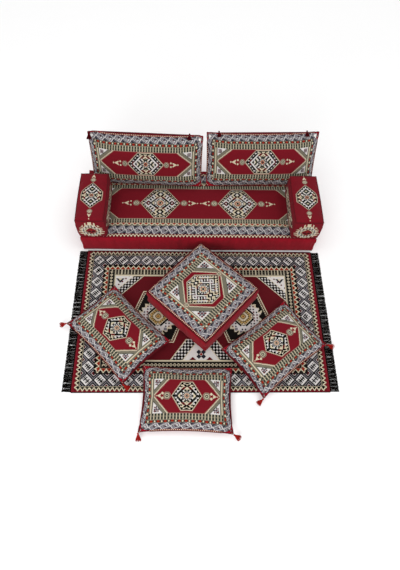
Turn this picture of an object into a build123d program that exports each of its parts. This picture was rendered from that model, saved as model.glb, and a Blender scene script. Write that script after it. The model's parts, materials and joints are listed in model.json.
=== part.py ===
from build123d import *
import math
import os

# Majlis floor sofa set in millimetres: seat mattress, two back cushions, two armrests,
# floor pouf, three throw pillows and a fringed rug.
# The origin is the middle of the seat's underside, on the floor, with +Y towards the backs.

os.makedirs("parts", exist_ok=True)

# Cloth, fillings and the gaps between pieces
cloth_wall = 1.6
fill_gap = 0.6
lay_gap = 0.5
overrun = 1.0

# Seat mattress
seat_length = 1900.0
seat_depth = 700.0
seat_height = 190.0
seat_corner = 18.0
seat_ease = 8.0
seat_belly = 5.0
seat_zip = 1400.0
seat_zip_inset = 90.0

# Armrests
arm_length = 462.0
arm_width = 215.0
arm_height = 224.0
arm_corner = 9.0
arm_ease = 4.5
arm_belly = 6.0
arm_zip = 330.0
arm_zip_inset = 50.0

# Back cushions
back_width = 905.0
back_tall = 460.0
back_crown = 78.0
back_under = 62.0
back_draw = 13.0
back_zip = 400.0
back_zip_inset = 145.0
back_leans = {"left": 16.0, "right": 25.0}
back_turns = {"left": -2.2, "right": 1.6}
back_middles = {"left": -434.0, "right": 512.0}
back_foot = 190.0
back_tassel_insets = {"left": (14.0, 108.0), "right": (100.0, 90.0)}

# Floor pouf
pouf_side = 602.0
pouf_height = 185.0
pouf_corner = 8.0
pouf_ease = 5.0
pouf_belly = 5.0
pouf_zip = 440.0
pouf_zip_inset = 70.0
pouf_turn = 46.9
pouf_place = (24.0, -822.0)

# Throw pillows
pillow_width = 642.0
pillow_depth = 462.0
pillow_crown = 72.0
pillow_under = 52.0
pillow_draw = 17.0
pillow_zip = 340.0
pillow_zip_inset = 120.0
pillow_places = {"left": (-609.0, -1111.0), "right": (554.0, -1226.0), "front": (-96.0, -1609.0)}
pillow_turns = {"left": -45.9, "right": 38.3, "front": -1.5}
pillow_tassel_swings = {"left": (0.0, 60.0), "right": (-45.0, 0.0), "front": (50.0, 20.0)}

# Rug
rug_width = 1860.0
rug_depth = 1190.0
rug_thick = 6.0
rug_seat_gap = 12.0
rug_middle = 10.0
binding_width = 5.0
fringe_length = 68.0
fringe_header = 9.0
fringe_thick = 3.0
strand_width = 7.0
strand_gap = 6.0

# Piping, tassels
piping_width = 5.0
piping_grip = 1.2
tassel_loop = 8.0
tassel_cord = 1.6
tassel_head = 6.5
tassel_neck = 4.2
tassel_skirt = 8.0
tassel_drop = 38.0
tassel_droop = 32.0
tassel_rise = 40.0

# Concealed zips: a tape with a lane, and a slider whose wings run inside the cover
tape_width = 26.0
lane_width = 7.0
lane_margin = 8.0
run_gap = 0.4
slider_length = 16.0
slider_recess = 0.4
wing_width = 13.0
wing_thick = 1.8
pull_length = 24.0
groove_gap = 0.8

# Side profile of a boxed cushion: height share, and share of the edge's easing and of its belly
foot_seam_shares = (0.05, 0.3, 0.6)
top_seam_shares = (0.95, 0.3, 0.6)
box_profile_shares = (
    (0.0, 1.0, 0.3),
    foot_seam_shares,
    (0.16, 0.0, 1.0),
    (0.5, -0.25, 1.3),
    (0.84, 0.0, 1.0),
    top_seam_shares,
    (1.0, 1.0, 0.3),
)
# Crown of a seamed cushion: height share, share of the seam's outline, share of its drawn-in sides
crown_shares = (
    (0.0, 1.0, 1.0),
    (0.42, 0.88, 0.4),
    (0.76, 0.7, -0.6),
    (0.95, 0.45, -1.0),
    (1.0, 0.24, -0.7),
)
lying_shares = ((0.0, 1.0, 1.0), (0.5, 0.93, 0.5), (0.86, 0.82, 0.0), (1.0, 0.7, -0.4))
leaning_shares = ((0.0, 1.0, 1.0), (0.42, 0.88, 0.4), (0.8, 0.72, -0.4), (1.0, 0.52, -0.8))
seam_edge_ratio = 4.0


def outline_sketch(plane, half_x, half_y, drawn_in, corner, straight_foot):
    """A four-sided outline whose sides draw in, or swell out where drawn_in is negative."""
    corners = [(-half_x, -half_y), (half_x, -half_y), (half_x, half_y), (-half_x, half_y)]
    inward = [(0, 1), (-1, 0), (0, -1), (1, 0)]
    with BuildSketch(plane) as outline:
        with BuildLine():
            for side in range(4):
                start = Vector(*corners[side])
                end = Vector(*corners[(side + 1) % 4])
                push = Vector(*inward[side]) * drawn_in
                if not drawn_in or (side == 0 and straight_foot):
                    Line(start, end)
                else:
                    ThreePointArc(start, (start + end) / 2 + push, end)
        make_face()
        if corner:
            fillet(outline.vertices(), radius=corner)
    return outline.sketch


def boxed_form(plane, half_x, half_y, height, ease, belly, corner, inset):
    """A boxed cushion standing on the plane, drawn in at both edges, smaller by inset all round."""
    with BuildPart() as form:
        for height_share, ease_share, belly_share in box_profile_shares:
            level = inset + height_share * (height - 2 * inset)
            cut = inset + ease_share * ease
            add(outline_sketch(plane.offset(level), half_x - cut, half_y - cut,
                               -belly_share * belly, corner - inset, False))
        loft(ruled=True)
    return form.part


def half_form(plane, half_x, half_y, rise, drawn_in, shares, straight_foot):
    """One face of a seamed cushion, from its seam in the plane up to its flat middle."""
    with BuildPart() as form:
        for height_share, size_share, draw_share in shares:
            add(outline_sketch(plane.offset(height_share * rise), half_x * size_share,
                               half_y * size_share, draw_share * drawn_in, 0, straight_foot))
        loft()
    return form.part


def seamed_form(plane, half_x, half_y, crown, under, drawn_in, under_shares, foot, inset):
    """A cushion of two faces sewn in one seam, smaller by inset all round."""
    edge = inset * seam_edge_ratio
    sizes = (half_x - edge, half_y - edge)
    with BuildPart() as form:
        add(half_form(plane, *sizes, crown - inset, drawn_in, crown_shares, foot))
        add(half_form(plane, *sizes, inset - under, drawn_in, under_shares, foot))
    return form.part


def tassel_form(start, axis_way, side_way):
    """A tassel that hangs from start along axis_way: cord, head, neck and flared skirt."""
    hang = Plane(origin=start, x_dir=side_way, z_dir=Vector(*side_way).cross(Vector(*axis_way)))
    head_end = tassel_loop + 2 * tassel_head
    skirt_end = head_end + tassel_drop
    with BuildPart() as form:
        with BuildSketch(hang):
            with BuildLine():
                Line((0, 0), (tassel_cord, 0))
                Line((tassel_cord, 0), (tassel_cord, tassel_loop))
                ThreePointArc((tassel_cord, tassel_loop), (tassel_head, tassel_loop + tassel_head),
                              (tassel_neck, head_end))
                Line((tassel_neck, head_end), (tassel_skirt, skirt_end))
                Line((tassel_skirt, skirt_end), (0, skirt_end))
                Line((0, skirt_end), (0, 0))
            make_face()
        revolve(axis=Axis(start, axis_way))
    return form.part


def save(piece, node):
    """Labels a finished piece and writes it under its node's name."""
    piece.label = node
    export_step(piece, f"parts/{node}.step")


def zip_plane(plane, face, inset_y):
    """The plane of a zip, in the flat face at the height face, with its lane along X."""
    return Plane(origin=plane.from_local_coords((0, inset_y, face)),
                 x_dir=plane.x_dir, z_dir=plane.z_dir)


def make_zip(name, lie, length):
    """The tape with its lane, and the slider at the closed end of it."""
    lane = length - 2 * lane_margin
    with BuildPart() as tape:
        with BuildSketch(lie):
            Rectangle(length, tape_width)
            Rectangle(lane, lane_width, mode=Mode.SUBTRACT)
        extrude(amount=cloth_wall)
    save(tape.part, f"{name}_zip_tape")

    body_start = run_gap - lane / 2
    with BuildPart() as slider:
        with BuildSketch(lie.offset(slider_recess)):
            with Locations((body_start + (slider_length + pull_length) / 2, 0)):
                Rectangle(slider_length + pull_length, lane_width - 2 * run_gap)
        extrude(amount=(cloth_wall - slider_recess) / 2)
        with BuildSketch(lie.offset(slider_recess)):
            with Locations((body_start + slider_length / 2, 0)):
                Rectangle(slider_length, lane_width - 2 * run_gap)
        extrude(amount=cloth_wall + run_gap + wing_thick - slider_recess)
        with BuildSketch(lie.offset(cloth_wall + run_gap)):
            with Locations((body_start + slider_length / 2, 0)):
                Rectangle(slider_length, wing_width)
        extrude(amount=wing_thick)
    save(slider.part, f"{name}_zip_slider")


def zip_slot(lie, length):
    """The opening in the cover that the tape fills edge to edge."""
    with BuildPart() as form:
        with BuildSketch(lie.offset(-overrun)):
            Rectangle(length, tape_width)
        extrude(amount=cloth_wall + 2 * overrun)
    return form.part


def zip_groove(lie, length):
    """The groove in the filling that the slider's wings run in."""
    with BuildPart() as form:
        with BuildSketch(lie):
            Rectangle(length, wing_width + 2 * groove_gap)
        extrude(amount=cloth_wall + run_gap + wing_thick + groove_gap)
    return form.part


def make_filling(name, inner_form, lie, zip_length):
    """The foam core or fibre fill, with the zip's groove in its underside."""
    groove = zip_groove(lie, zip_length)
    with BuildPart() as filling:
        add(inner_form)
        add(groove, mode=Mode.SUBTRACT)
    save(filling.part, name)


def make_boxed_cover(name, shell, seam, foot_seam):
    """The top panel and the side cover, parted at the top seam, and a base where it has one."""
    with BuildPart() as top_panel:
        add(shell)
        split(bisect_by=seam, keep=Keep.TOP)
    save(top_panel.part, f"{name}_top_panel")
    with BuildPart() as side_cover:
        add(shell)
        split(bisect_by=seam, keep=Keep.BOTTOM)
        if foot_seam:
            split(bisect_by=foot_seam, keep=Keep.TOP)
    save(side_cover.part, f"{name}_side_cover")
    if foot_seam:
        with BuildPart() as base_cloth:
            add(shell)
            split(bisect_by=foot_seam, keep=Keep.BOTTOM)
        save(base_cloth.part, f"{name}_base_cloth")


def make_piping(name, seam, half_x, half_y, drawn_in, corner, foot, outer):
    """A welt round the seam's outline, in the seam's plane, sewn close against the cover."""
    reach = piping_width - piping_grip
    rounding = corner + reach if corner else 0
    outline = outline_sketch(seam.offset(-piping_width / 2), half_x + reach, half_y + reach,
                             drawn_in, rounding, foot)
    with BuildPart() as piping:
        add(outline)
        extrude(amount=piping_width, dir=seam.z_dir)
        add(outer, mode=Mode.SUBTRACT)
    save(piping.part, f"{name}_piping")
    return piping.part


def make_boxed_cushion(name, plane, sizes, height, edge, zip_sizes, piped):
    """A boxed cushion: core, cover panels, piping and zip. edge is its ease, belly and corner."""
    half_x, half_y = (size / 2 for size in sizes)
    zip_length, zip_inset = zip_sizes
    outer = boxed_form(plane, half_x, half_y, height, *edge, 0)
    cavity = boxed_form(plane, half_x, half_y, height, *edge, cloth_wall)
    core = boxed_form(plane, half_x, half_y, height, *edge, cloth_wall + fill_gap)
    lie = zip_plane(plane, 0, half_y - zip_inset)
    slot = zip_slot(lie, zip_length)
    seam_share, ease_share, belly_share = top_seam_shares
    seam = plane.offset(height * seam_share)
    foot_seam = None if piped else plane.offset(height * foot_seam_shares[0])
    with BuildPart() as shell:
        add(outer)
        add(cavity, mode=Mode.SUBTRACT)
        add(slot, mode=Mode.SUBTRACT)
    make_boxed_cover(name, shell.part, seam, foot_seam)
    make_filling(f"{name}_core", core, lie, zip_length)
    make_zip(name, lie, zip_length)
    if piped:
        ease, belly, corner = edge
        cut = ease_share * ease
        make_piping(name, seam, half_x - cut, half_y - cut, -belly_share * belly, corner, False,
                    outer)


def make_seamed_cushion(name, plane, sizes, rises, drawn_in, under_shares, foot, zip_sizes, hangs):
    """A cushion of two faces: fill, cover, piping, zip, and tassels where hangs says."""
    half_x, half_y = (size / 2 for size in sizes)
    crown, under = rises
    zip_length, zip_inset = zip_sizes
    shape = (plane, half_x, half_y, crown, under, drawn_in, under_shares, foot)
    outer = seamed_form(*shape, 0)
    cavity = seamed_form(*shape, cloth_wall)
    fill = seamed_form(*shape, cloth_wall + fill_gap)
    lie = zip_plane(plane, -under, zip_inset - half_y)
    slot = zip_slot(lie, zip_length)
    with BuildPart() as cover:
        add(outer)
        add(cavity, mode=Mode.SUBTRACT)
        add(slot, mode=Mode.SUBTRACT)
    save(cover.part, f"{name}_cover")
    make_filling(f"{name}_fill", fill, lie, zip_length)
    make_zip(name, lie, zip_length)

    piping = make_piping(name, plane, half_x, half_y, drawn_in, 0, foot, outer)
    hung = [tassel_form(*hang) for hang in hangs]
    with BuildPart() as tassels:
        for tassel in hung:
            add(tassel)
        add(outer, mode=Mode.SUBTRACT)
        add(piping, mode=Mode.SUBTRACT)
    save(tassels.part, f"{name}_tassels")


def way(plane, x, y, z):
    """A direction given in a cushion's own plane, in the row's axes."""
    return plane.from_local_coords((x, y, z)) - plane.origin


# Seat mattress on the floor
make_boxed_cushion("seat", Plane.XY, (seat_length, seat_depth), seat_height,
                   (seat_ease, seat_belly, seat_corner), (seat_zip, seat_zip_inset), False)

# Armrests on both ends of the seat, each along the seat's depth
arm_rest_height = seat_height + lay_gap
for name, end in (("left_arm", -1), ("right_arm", 1)):
    arm_x = end * (seat_length - arm_width) / 2
    arm_y = (arm_length - seat_depth) / 2
    arm_plane = Plane(origin=(arm_x, arm_y, arm_rest_height), x_dir=(0, 1, 0), z_dir=(0, 0, 1))
    make_boxed_cushion(name, arm_plane, (arm_length, arm_width), arm_height,
                       (arm_ease, arm_belly, arm_corner), (arm_zip, arm_zip_inset), True)

# Back cushions standing on the seat's rear, leaning back
foot_height = seat_height + lay_gap + piping_width
rise = math.radians(tassel_rise)
for side, middle in back_middles.items():
    lean = math.radians(back_leans[side])
    stem = Plane(origin=(middle, back_foot, foot_height)).rotated((0, 0, back_turns[side]))
    facing = Vector(0, 0, math.sin(lean)) - stem.y_dir * math.cos(lean)
    upward = Vector(0, 0, math.cos(lean)) + stem.y_dir * math.sin(lean)
    back_plane = Plane(origin=stem.origin + upward * (back_tall / 2), x_dir=stem.x_dir, z_dir=facing)
    hangs = []
    for hand, inset in zip((-1, 1), back_tassel_insets[side]):
        start = back_plane.from_local_coords(
            (hand * (back_width / 2 - inset), back_tall / 2, piping_width / 2 + tassel_head))
        hangs.append((start, way(back_plane, 0, -math.cos(rise), math.sin(rise)), stem.x_dir))
    make_seamed_cushion(f"{side}_back", back_plane, (back_width, back_tall),
                        (back_crown, back_under), back_draw, leaning_shares, True,
                        (back_zip, back_zip_inset), hangs)

# Rug in front of the seat, its long sides bound and its short sides fringed
rug_y = -seat_depth / 2 - rug_seat_gap - rug_depth / 2
rug_plane = Plane(origin=(rug_middle, rug_y, 0))
mat_depth = rug_depth - 2 * binding_width
with BuildPart() as rug_mat:
    with BuildSketch(rug_plane):
        Rectangle(rug_width, mat_depth)
    extrude(amount=rug_thick)
save(rug_mat.part, "rug_mat")

with BuildPart() as rug_binding:
    with BuildSketch(rug_plane):
        with GridLocations(0, mat_depth + binding_width, 1, 2):
            Rectangle(rug_width, binding_width)
    extrude(amount=rug_thick)
save(rug_binding.part, "rug_binding")

strand_count = int(mat_depth // (strand_width + strand_gap))
strand_pitch = (mat_depth - strand_width) / (strand_count - 1)
for side, end in (("left", -1), ("right", 1)):
    with BuildPart() as rug_fringe:
        with BuildSketch(rug_plane):
            with Locations((end * (rug_width + fringe_header) / 2, 0)):
                Rectangle(fringe_header, mat_depth)
            with Locations((end * (rug_width + fringe_length) / 2, 0)):
                with GridLocations(0, strand_pitch, 1, strand_count):
                    Rectangle(fringe_length, strand_width)
        extrude(amount=fringe_thick)
    save(rug_fringe.part, f"rug_fringe_{side}")

# Pouf on the rug, turned corner to the seat
pouf_plane = Plane(origin=(*pouf_place, rug_thick + lay_gap)).rotated((0, 0, pouf_turn))
make_boxed_cushion("pouf", pouf_plane, (pouf_side, pouf_side), pouf_height,
                   (pouf_ease, pouf_belly, pouf_corner), (pouf_zip, pouf_zip_inset), True)

# Throw pillows lying on the rug, with a tassel at both ends of one long side
pillow_seam_height = rug_thick + lay_gap + pillow_under
droop = math.radians(tassel_droop)
for side, place in pillow_places.items():
    pillow_plane = Plane(origin=(*place, pillow_seam_height)).rotated((0, 0, pillow_turns[side]))
    hangs = []
    for hand, swing in zip((-1, 1), pillow_tassel_swings[side]):
        out = Vector(hand, -1, 0).normalized().rotate(Axis.Z, swing)
        reach = Vector(hand, -1, 0).normalized() * (piping_width - piping_grip - tassel_cord)
        start = pillow_plane.from_local_coords(
            (hand * pillow_width / 2 + reach.X, reach.Y - pillow_depth / 2, 0))
        hang_way = way(pillow_plane, out.X * math.cos(droop), out.Y * math.cos(droop),
                       -math.sin(droop))
        hangs.append((start, hang_way, way(pillow_plane, out.Y, -out.X, 0)))
    make_seamed_cushion(f"{side}_pillow", pillow_plane, (pillow_width, pillow_depth),
                        (pillow_crown, pillow_under), pillow_draw, lying_shares, False,
                        (pillow_zip, pillow_zip_inset), hangs)
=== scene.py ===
import json
import math
import random
from dataclasses import dataclass
from functools import partial

import bmesh
import bpy
import numpy as np
from bpy.props import FloatProperty, FloatVectorProperty, IntProperty, PointerProperty
from bpy.types import Operator, Panel, PropertyGroup
from mathutils import Matrix, Vector

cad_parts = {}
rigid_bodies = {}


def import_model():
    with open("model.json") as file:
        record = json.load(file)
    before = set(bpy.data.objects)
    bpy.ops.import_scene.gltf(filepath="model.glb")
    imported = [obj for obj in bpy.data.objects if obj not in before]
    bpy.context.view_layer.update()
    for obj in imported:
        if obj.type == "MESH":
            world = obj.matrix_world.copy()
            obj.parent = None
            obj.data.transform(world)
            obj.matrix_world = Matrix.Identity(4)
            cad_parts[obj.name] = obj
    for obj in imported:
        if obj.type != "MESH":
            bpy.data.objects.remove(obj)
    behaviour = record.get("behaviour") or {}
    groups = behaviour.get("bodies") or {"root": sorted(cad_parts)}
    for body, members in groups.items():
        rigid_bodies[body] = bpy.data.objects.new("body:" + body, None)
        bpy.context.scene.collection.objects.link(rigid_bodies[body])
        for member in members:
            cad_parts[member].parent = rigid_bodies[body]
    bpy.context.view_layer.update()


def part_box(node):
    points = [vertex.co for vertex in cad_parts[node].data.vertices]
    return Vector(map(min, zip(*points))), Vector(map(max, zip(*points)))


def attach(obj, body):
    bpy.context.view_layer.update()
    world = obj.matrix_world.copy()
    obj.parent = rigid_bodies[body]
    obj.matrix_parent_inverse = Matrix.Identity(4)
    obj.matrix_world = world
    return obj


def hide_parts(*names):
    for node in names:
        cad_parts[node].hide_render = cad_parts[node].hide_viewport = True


bl_info = {
    "name": "Majlis Floor Sofa Set",
    "version": (1, 0, 0),
    "blender": (4, 5, 0),
    "location": "View3D > Sidebar > Majlis",
    "description": "Dresses the cushions, armrests, pouf, pillows and rug of a majlis floor sofa",
    "category": "Object",
}

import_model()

# Kinds of face on a cushion's cover
TOP, SIDE, BASE = 0, 1, 2


# Sizes and colours that a user would change

def length(default, description):
    """A size in metres for a property group."""
    return FloatProperty(description=description, default=default, min=0.0, precision=4,
                         unit="LENGTH")


def angle(degrees, description):
    """An angle for a property group, given in degrees."""
    return FloatProperty(description=description, default=math.radians(degrees),
                         subtype="ANGLE")


def pair(default, description):
    """Two lengths for a property group."""
    return FloatVectorProperty(description=description, default=default, size=2, unit="LENGTH")


def swings(degrees, description):
    """Two angles for a property group, given in degrees."""
    return FloatVectorProperty(description=description, size=2, unit="ROTATION",
                               default=[math.radians(part) for part in degrees])


def yarn_colour(code, description):
    """A yarn's colour for a property group, written as a web code and kept in linear light."""
    parts = [int(code[place:place + 2], 16) / 255 for place in (0, 2, 4)]
    linear = [part / 12.92 if part <= 0.04045 else ((part + 0.055) / 1.055) ** 2.4
              for part in parts]
    return FloatVectorProperty(description=description, default=linear, size=3, min=0.0,
                               max=1.0, subtype="COLOR")


def boxed(width, depth, height, ease, belly, corner, crown, puff):
    """The sizes that every boxed cushion has."""
    return {
        "width": length(width, "From side to side"),
        "depth": length(depth, "From front to rear"),
        "height": length(height, "From what it lies on to its top"),
        "ease": length(ease, "How far the edges draw in"),
        "belly": length(belly, "How far the sides swell"),
        "corner": length(corner, "Radius of the upright corners"),
        "crown": length(crown, "How far the top swells"),
        "puff": length(puff, "How far the filling may push the cloth"),
    }


def labelled(group):
    """Labels each property of a group with its own name."""
    for name, made in group.__annotations__.items():
        made.keywords["name"] = name.replace("_", " ").capitalize()
    return group


@labelled
class MajlisYarns(PropertyGroup):
    """Colours of the yarns, cloths and fillings."""
    crimson: yarn_colour("6f0e1b", "Fields of the kilims")
    # The wine yarn's dark red is partly its own colour and partly painted shade, darkened to
    # stand for the shadow the pouf casts on the rug's field.
    wine: yarn_colour("570b14", "Dark red of the rug and the borders")
    cream: yarn_colour("c9bda2", "Outlines, beads and hearts")
    gold: yarn_colour("af8f55", "Rings of the rug's flowers")
    olive: yarn_colour("6d6859", "Ground of the ladders")
    green: yarn_colour("282e27", "Rungs and leaves")
    lilac: yarn_colour("747076", "Ground of the scrolls")
    pale: yarn_colour("cdc9c6", "Corners, leaves and crossings")
    black: yarn_colour("0e0b09", "Outlines, bindings and fringe")
    navy: yarn_colour("20202b", "Hooks and small flowers")
    flame: yarn_colour("8a200f", "Blocks and flames")
    pink: yarn_colour("8f6d62", "Thin outlines")
    velvet: yarn_colour("830e1d", "Plain sides and rears")
    piping: yarn_colour("530a13", "Piping round the seams")
    dark_tassel: yarn_colour("49090f", "Tassels of the back cushions")
    bright_tassel: yarn_colour("9b201c", "Tassels of the throw pillows")
    lining: yarn_colour("201c1d", "Base cloth of the seat")
    foam: yarn_colour("dccfa4", "Foam of the boxed cushions")
    fibre: yarn_colour("e9e7e2", "Filling of the sewn cushions")
    zip_tape: yarn_colour("2c080c", "Tapes and teeth of the zips")
    nickel: yarn_colour("b9b7b2", "Sliders of the zips")
    floor: yarn_colour("fbfbfb", "Floor of the studio")


@labelled
class MajlisSeat(PropertyGroup):
    """Sizes of the seat mattress."""
    __annotations__ = boxed(width=1.9, depth=0.7, height=0.19, ease=0.004, belly=0.005,
                            corner=0.018, crown=0.006, puff=0.006)
    blend: length(0.06, "Width over which the top swells beside what it carries")


@labelled
class MajlisArm(PropertyGroup):
    """Sizes of an armrest."""
    __annotations__ = boxed(width=0.215, depth=0.462, height=0.224, ease=0.0045, belly=0.006,
                            corner=0.009, crown=0.004, puff=0.006)


@labelled
class MajlisPouf(PropertyGroup):
    """Sizes of the floor pouf."""
    __annotations__ = boxed(width=0.602, depth=0.602, height=0.185, ease=0.005, belly=0.005,
                            corner=0.008, crown=0.008, puff=0.007)
    turn: angle(46.9, "How far it is turned on the rug")


@labelled
class MajlisBack(PropertyGroup):
    """Sizes of a back cushion."""
    width: length(0.905, "Along the wall")
    depth: length(0.46, "From the seat to the top seam")
    crown: length(0.078, "Rise of the front face over the seam")
    under: length(0.062, "Depth of the rear face behind the seam")
    draw: length(0.006, "How far the seam draws in between its corners")
    puff: length(0.012, "How far the filling may push the cloth")
    foot: length(0.19, "How far behind the seat's middle the foot stands")
    middles: pair((-0.434, 0.512), "Middles of the left and the right cushion")
    leans: swings((16, 25), "How far each leans back")
    turns: swings((-2.2, 1.6), "How far each is turned")
    tuck: length(0.058, "How far the front's cloth runs back over the top")
    dip: length(0.024, "How far the top seam lies below its corners")
    left_tassels: pair((0.014, 0.108), "Distance of each from its corner")
    right_tassels: pair((0.1, 0.09), "Distance of each from its corner")
    tassel_rise: angle(40.0, "How far the tassels stand off the face")
    fullness: FloatProperty(description="How square the rear is filled out", default=3.4,
                            min=1.0)


@labelled
class MajlisPillow(PropertyGroup):
    """Sizes of a throw pillow."""
    width: length(0.642, "Long side")
    depth: length(0.462, "Short side")
    crown: length(0.072, "Rise of the upper face over the seam")
    under: length(0.052, "Depth of the lower face under the seam")
    draw: length(0.017, "How far the seam draws in between its corners")
    puff: length(0.012, "How far the filling may push the cloth")
    left_place: pair((-0.609, -1.111), "Middle of the left pillow")
    right_place: pair((0.554, -1.226), "Middle of the right pillow")
    front_place: pair((-0.096, -1.609), "Middle of the front pillow")
    left_turn: angle(-45.9, "How far the left pillow is turned")
    right_turn: angle(38.3, "How far the right pillow is turned")
    front_turn: angle(-1.5, "How far the front pillow is turned")
    left_swing: swings((0, 60), "How far its tassels swing")
    right_swing: swings((-45, 0), "How far its tassels swing")
    front_swing: swings((50, 20), "How far its tassels swing")
    tassel_droop: angle(32.0, "How far the tassels hang down")
    fullness: FloatProperty(description="How square the underside is filled out", default=6.0,
                            min=1.0)


@labelled
class MajlisRug(PropertyGroup):
    """Sizes of the rug."""
    width: length(1.86, "Along the seat, without the fringe")
    depth: length(1.18, "From front to rear, inside the bindings")
    thick: length(0.006, "Thickness of the weave")
    binding: length(0.005, "Width of the bound edges")
    fringe: length(0.068, "Length of the fringe")
    header: length(0.009, "Width of the woven band that holds the fringe")
    fringe_thick: length(0.003, "Thickness of the fringe")
    knots: IntProperty(description="Knots in each fringe", default=90, min=2)


@labelled
class MajlisTrim(PropertyGroup):
    """Sizes of the cloth, the piping and the tassels."""
    cloth: length(0.0016, "Thickness of the covers")
    clearance: length(0.0006, "Room between the filling and a zip's slider")
    lay: length(0.0005, "Room under a cushion that is laid down")
    stitch: length(0.0035, "Size of one stitch of the weaving charts")
    piping: length(0.005, "Width of the piping")
    grip: length(0.0012, "How deep the piping sits in the seam")
    loop: length(0.003, "Cord between the seam and a tassel's head")
    cord: length(0.0016, "Radius of the tassel's cord")
    head: length(0.0065, "Radius of a tassel's head")
    neck: length(0.0042, "Radius of a tassel's neck")
    skirt: length(0.022, "Radius of a tassel's foot")
    drop: length(0.044, "Length of a tassel's skirt")
    threads: IntProperty(description="Threads in a tassel", default=110, min=3)


@labelled
class MajlisSet(PropertyGroup):
    """All sizes of the set."""
    seat: PointerProperty(type=MajlisSeat)
    arm: PointerProperty(type=MajlisArm)
    pouf: PointerProperty(type=MajlisPouf)
    back: PointerProperty(type=MajlisBack)
    pillow: PointerProperty(type=MajlisPillow)
    rug: PointerProperty(type=MajlisRug)
    trim: PointerProperty(type=MajlisTrim)
    yarns: PointerProperty(type=MajlisYarns)


# Forms of the cushions

SEAM_SHARE = 0.05
EDGE_CROWDING = 0.7
CORNER_POWER = 8
EAR = 0.006
RUN_STEPS = 121


def spread(place):
    """Moves a place between -1 and 1 outwards, so that rows lie closer near the edges."""
    inward = 1 - abs(place)
    return math.copysign(1 - inward * (1 - EDGE_CROWDING + EDGE_CROWDING * inward), place)


def bowed(most, here, other):
    """A way out along one axis, most at the middle of a side and none at its ends."""
    return math.copysign(most * (1 - other * other) * abs(here) ** 3, here)


def made_parts(made, kind):
    """The parts of one kind that a bmesh operator made."""
    return [part for part in made["geom"] if isinstance(part, kind)]


def unit_pad(columns, rows, layers):
    """A closed pad of quads from -1 to 1 each way, its faces marked as top, side or base."""
    bm = bmesh.new()

    def panel(kind, level):
        verts = bmesh.ops.create_grid(bm, x_segments=columns, y_segments=rows, size=1.0)["verts"]
        for vert in verts:
            for face in vert.link_faces:
                face.material_index = kind
        inner = [vert for vert in verts if layers or not vert.is_boundary]
        bmesh.ops.translate(bm, verts=inner, vec=(0, 0, level))

    panel(TOP, 1)
    for _ in range(layers):
        rim = [edge for edge in bm.edges if edge.is_boundary]
        made = bmesh.ops.extrude_edge_only(bm, edges=rim)
        bmesh.ops.translate(bm, verts=made_parts(made, bmesh.types.BMVert),
                            vec=(0, 0, -2 / layers))
        for face in made_parts(made, bmesh.types.BMFace):
            face.material_index = SIDE
    panel(BASE, -1)
    bmesh.ops.remove_doubles(bm, verts=[vert for vert in bm.verts if vert.is_boundary],
                             dist=1e-4)
    bmesh.ops.recalc_face_normals(bm, faces=bm.faces[:])
    return bm


@dataclass
class BoxedPad:
    """A boxed cushion in its own axes, its base on the ground and its sides slightly swollen."""
    half_x: float
    half_y: float
    height: float
    ease: float
    belly: float
    corner: float
    crown: float

    def place(self, unit):
        """Where a point of the unit pad lies on this cushion."""
        across, along = spread(unit.x), spread(unit.y)
        share = SEAM_SHARE + (1 - 2 * SEAM_SHARE) * (unit.z + 1) / 2
        bend = abs(2 * share - 1)
        cut = self.ease * (1.25 * bend ** 6 - 0.25)
        belly = self.belly * (1.3 - bend ** 4)
        x, y = self.rounded(across * (self.half_x - cut), along * (self.half_y - cut), cut)
        return Vector((x + bowed(belly, across, along), y + bowed(belly, along, across),
                       self.level(unit, across, along, share)))

    def rounded(self, x, y, cut):
        """The same point with the cushion's upright corners rounded."""
        over_x = abs(x) - (self.half_x - cut - self.corner)
        over_y = abs(y) - (self.half_y - cut - self.corner)
        if over_x > 0 and over_y > 0:
            pull = max(over_x, over_y) / math.hypot(over_x, over_y) - 1
            x += math.copysign(over_x * pull, x)
            y += math.copysign(over_y * pull, y)
        return x, y

    def level(self, unit, across, along, share):
        """Height of a point: up the sides, over the rounded edge and onto the top or base."""
        if abs(unit.z) < 1 - 1e-6:
            return self.height * share
        edge = min((1 - abs(across)) * self.half_x, (1 - abs(along)) * self.half_y)
        turn = min(edge / (1.6 * SEAM_SHARE * self.height), 1)
        lift = SEAM_SHARE * self.height * math.sqrt(1 - (1 - turn) ** 2)
        if unit.z < 0:
            return SEAM_SHARE * self.height - lift
        crown = self.crown * (1 - across ** 4) * (1 - along ** 4)
        return (1 - SEAM_SHARE) * self.height + lift + crown

    def cloth(self, unit, centre, kind):
        """Where a face corner lies on its own panel of cloth, in metres."""
        x, y = spread(unit.x) * self.half_x, spread(unit.y) * self.half_y
        if kind != SIDE:
            return x, y
        z = self.height * (unit.z + 1) / 2
        if abs(centre.x) > abs(centre.y):
            return math.copysign(self.half_x + self.half_y + y, centre.x), z
        if centre.y < 0:
            return x, z
        return 2 * (self.half_x + self.half_y) - x, z


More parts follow.
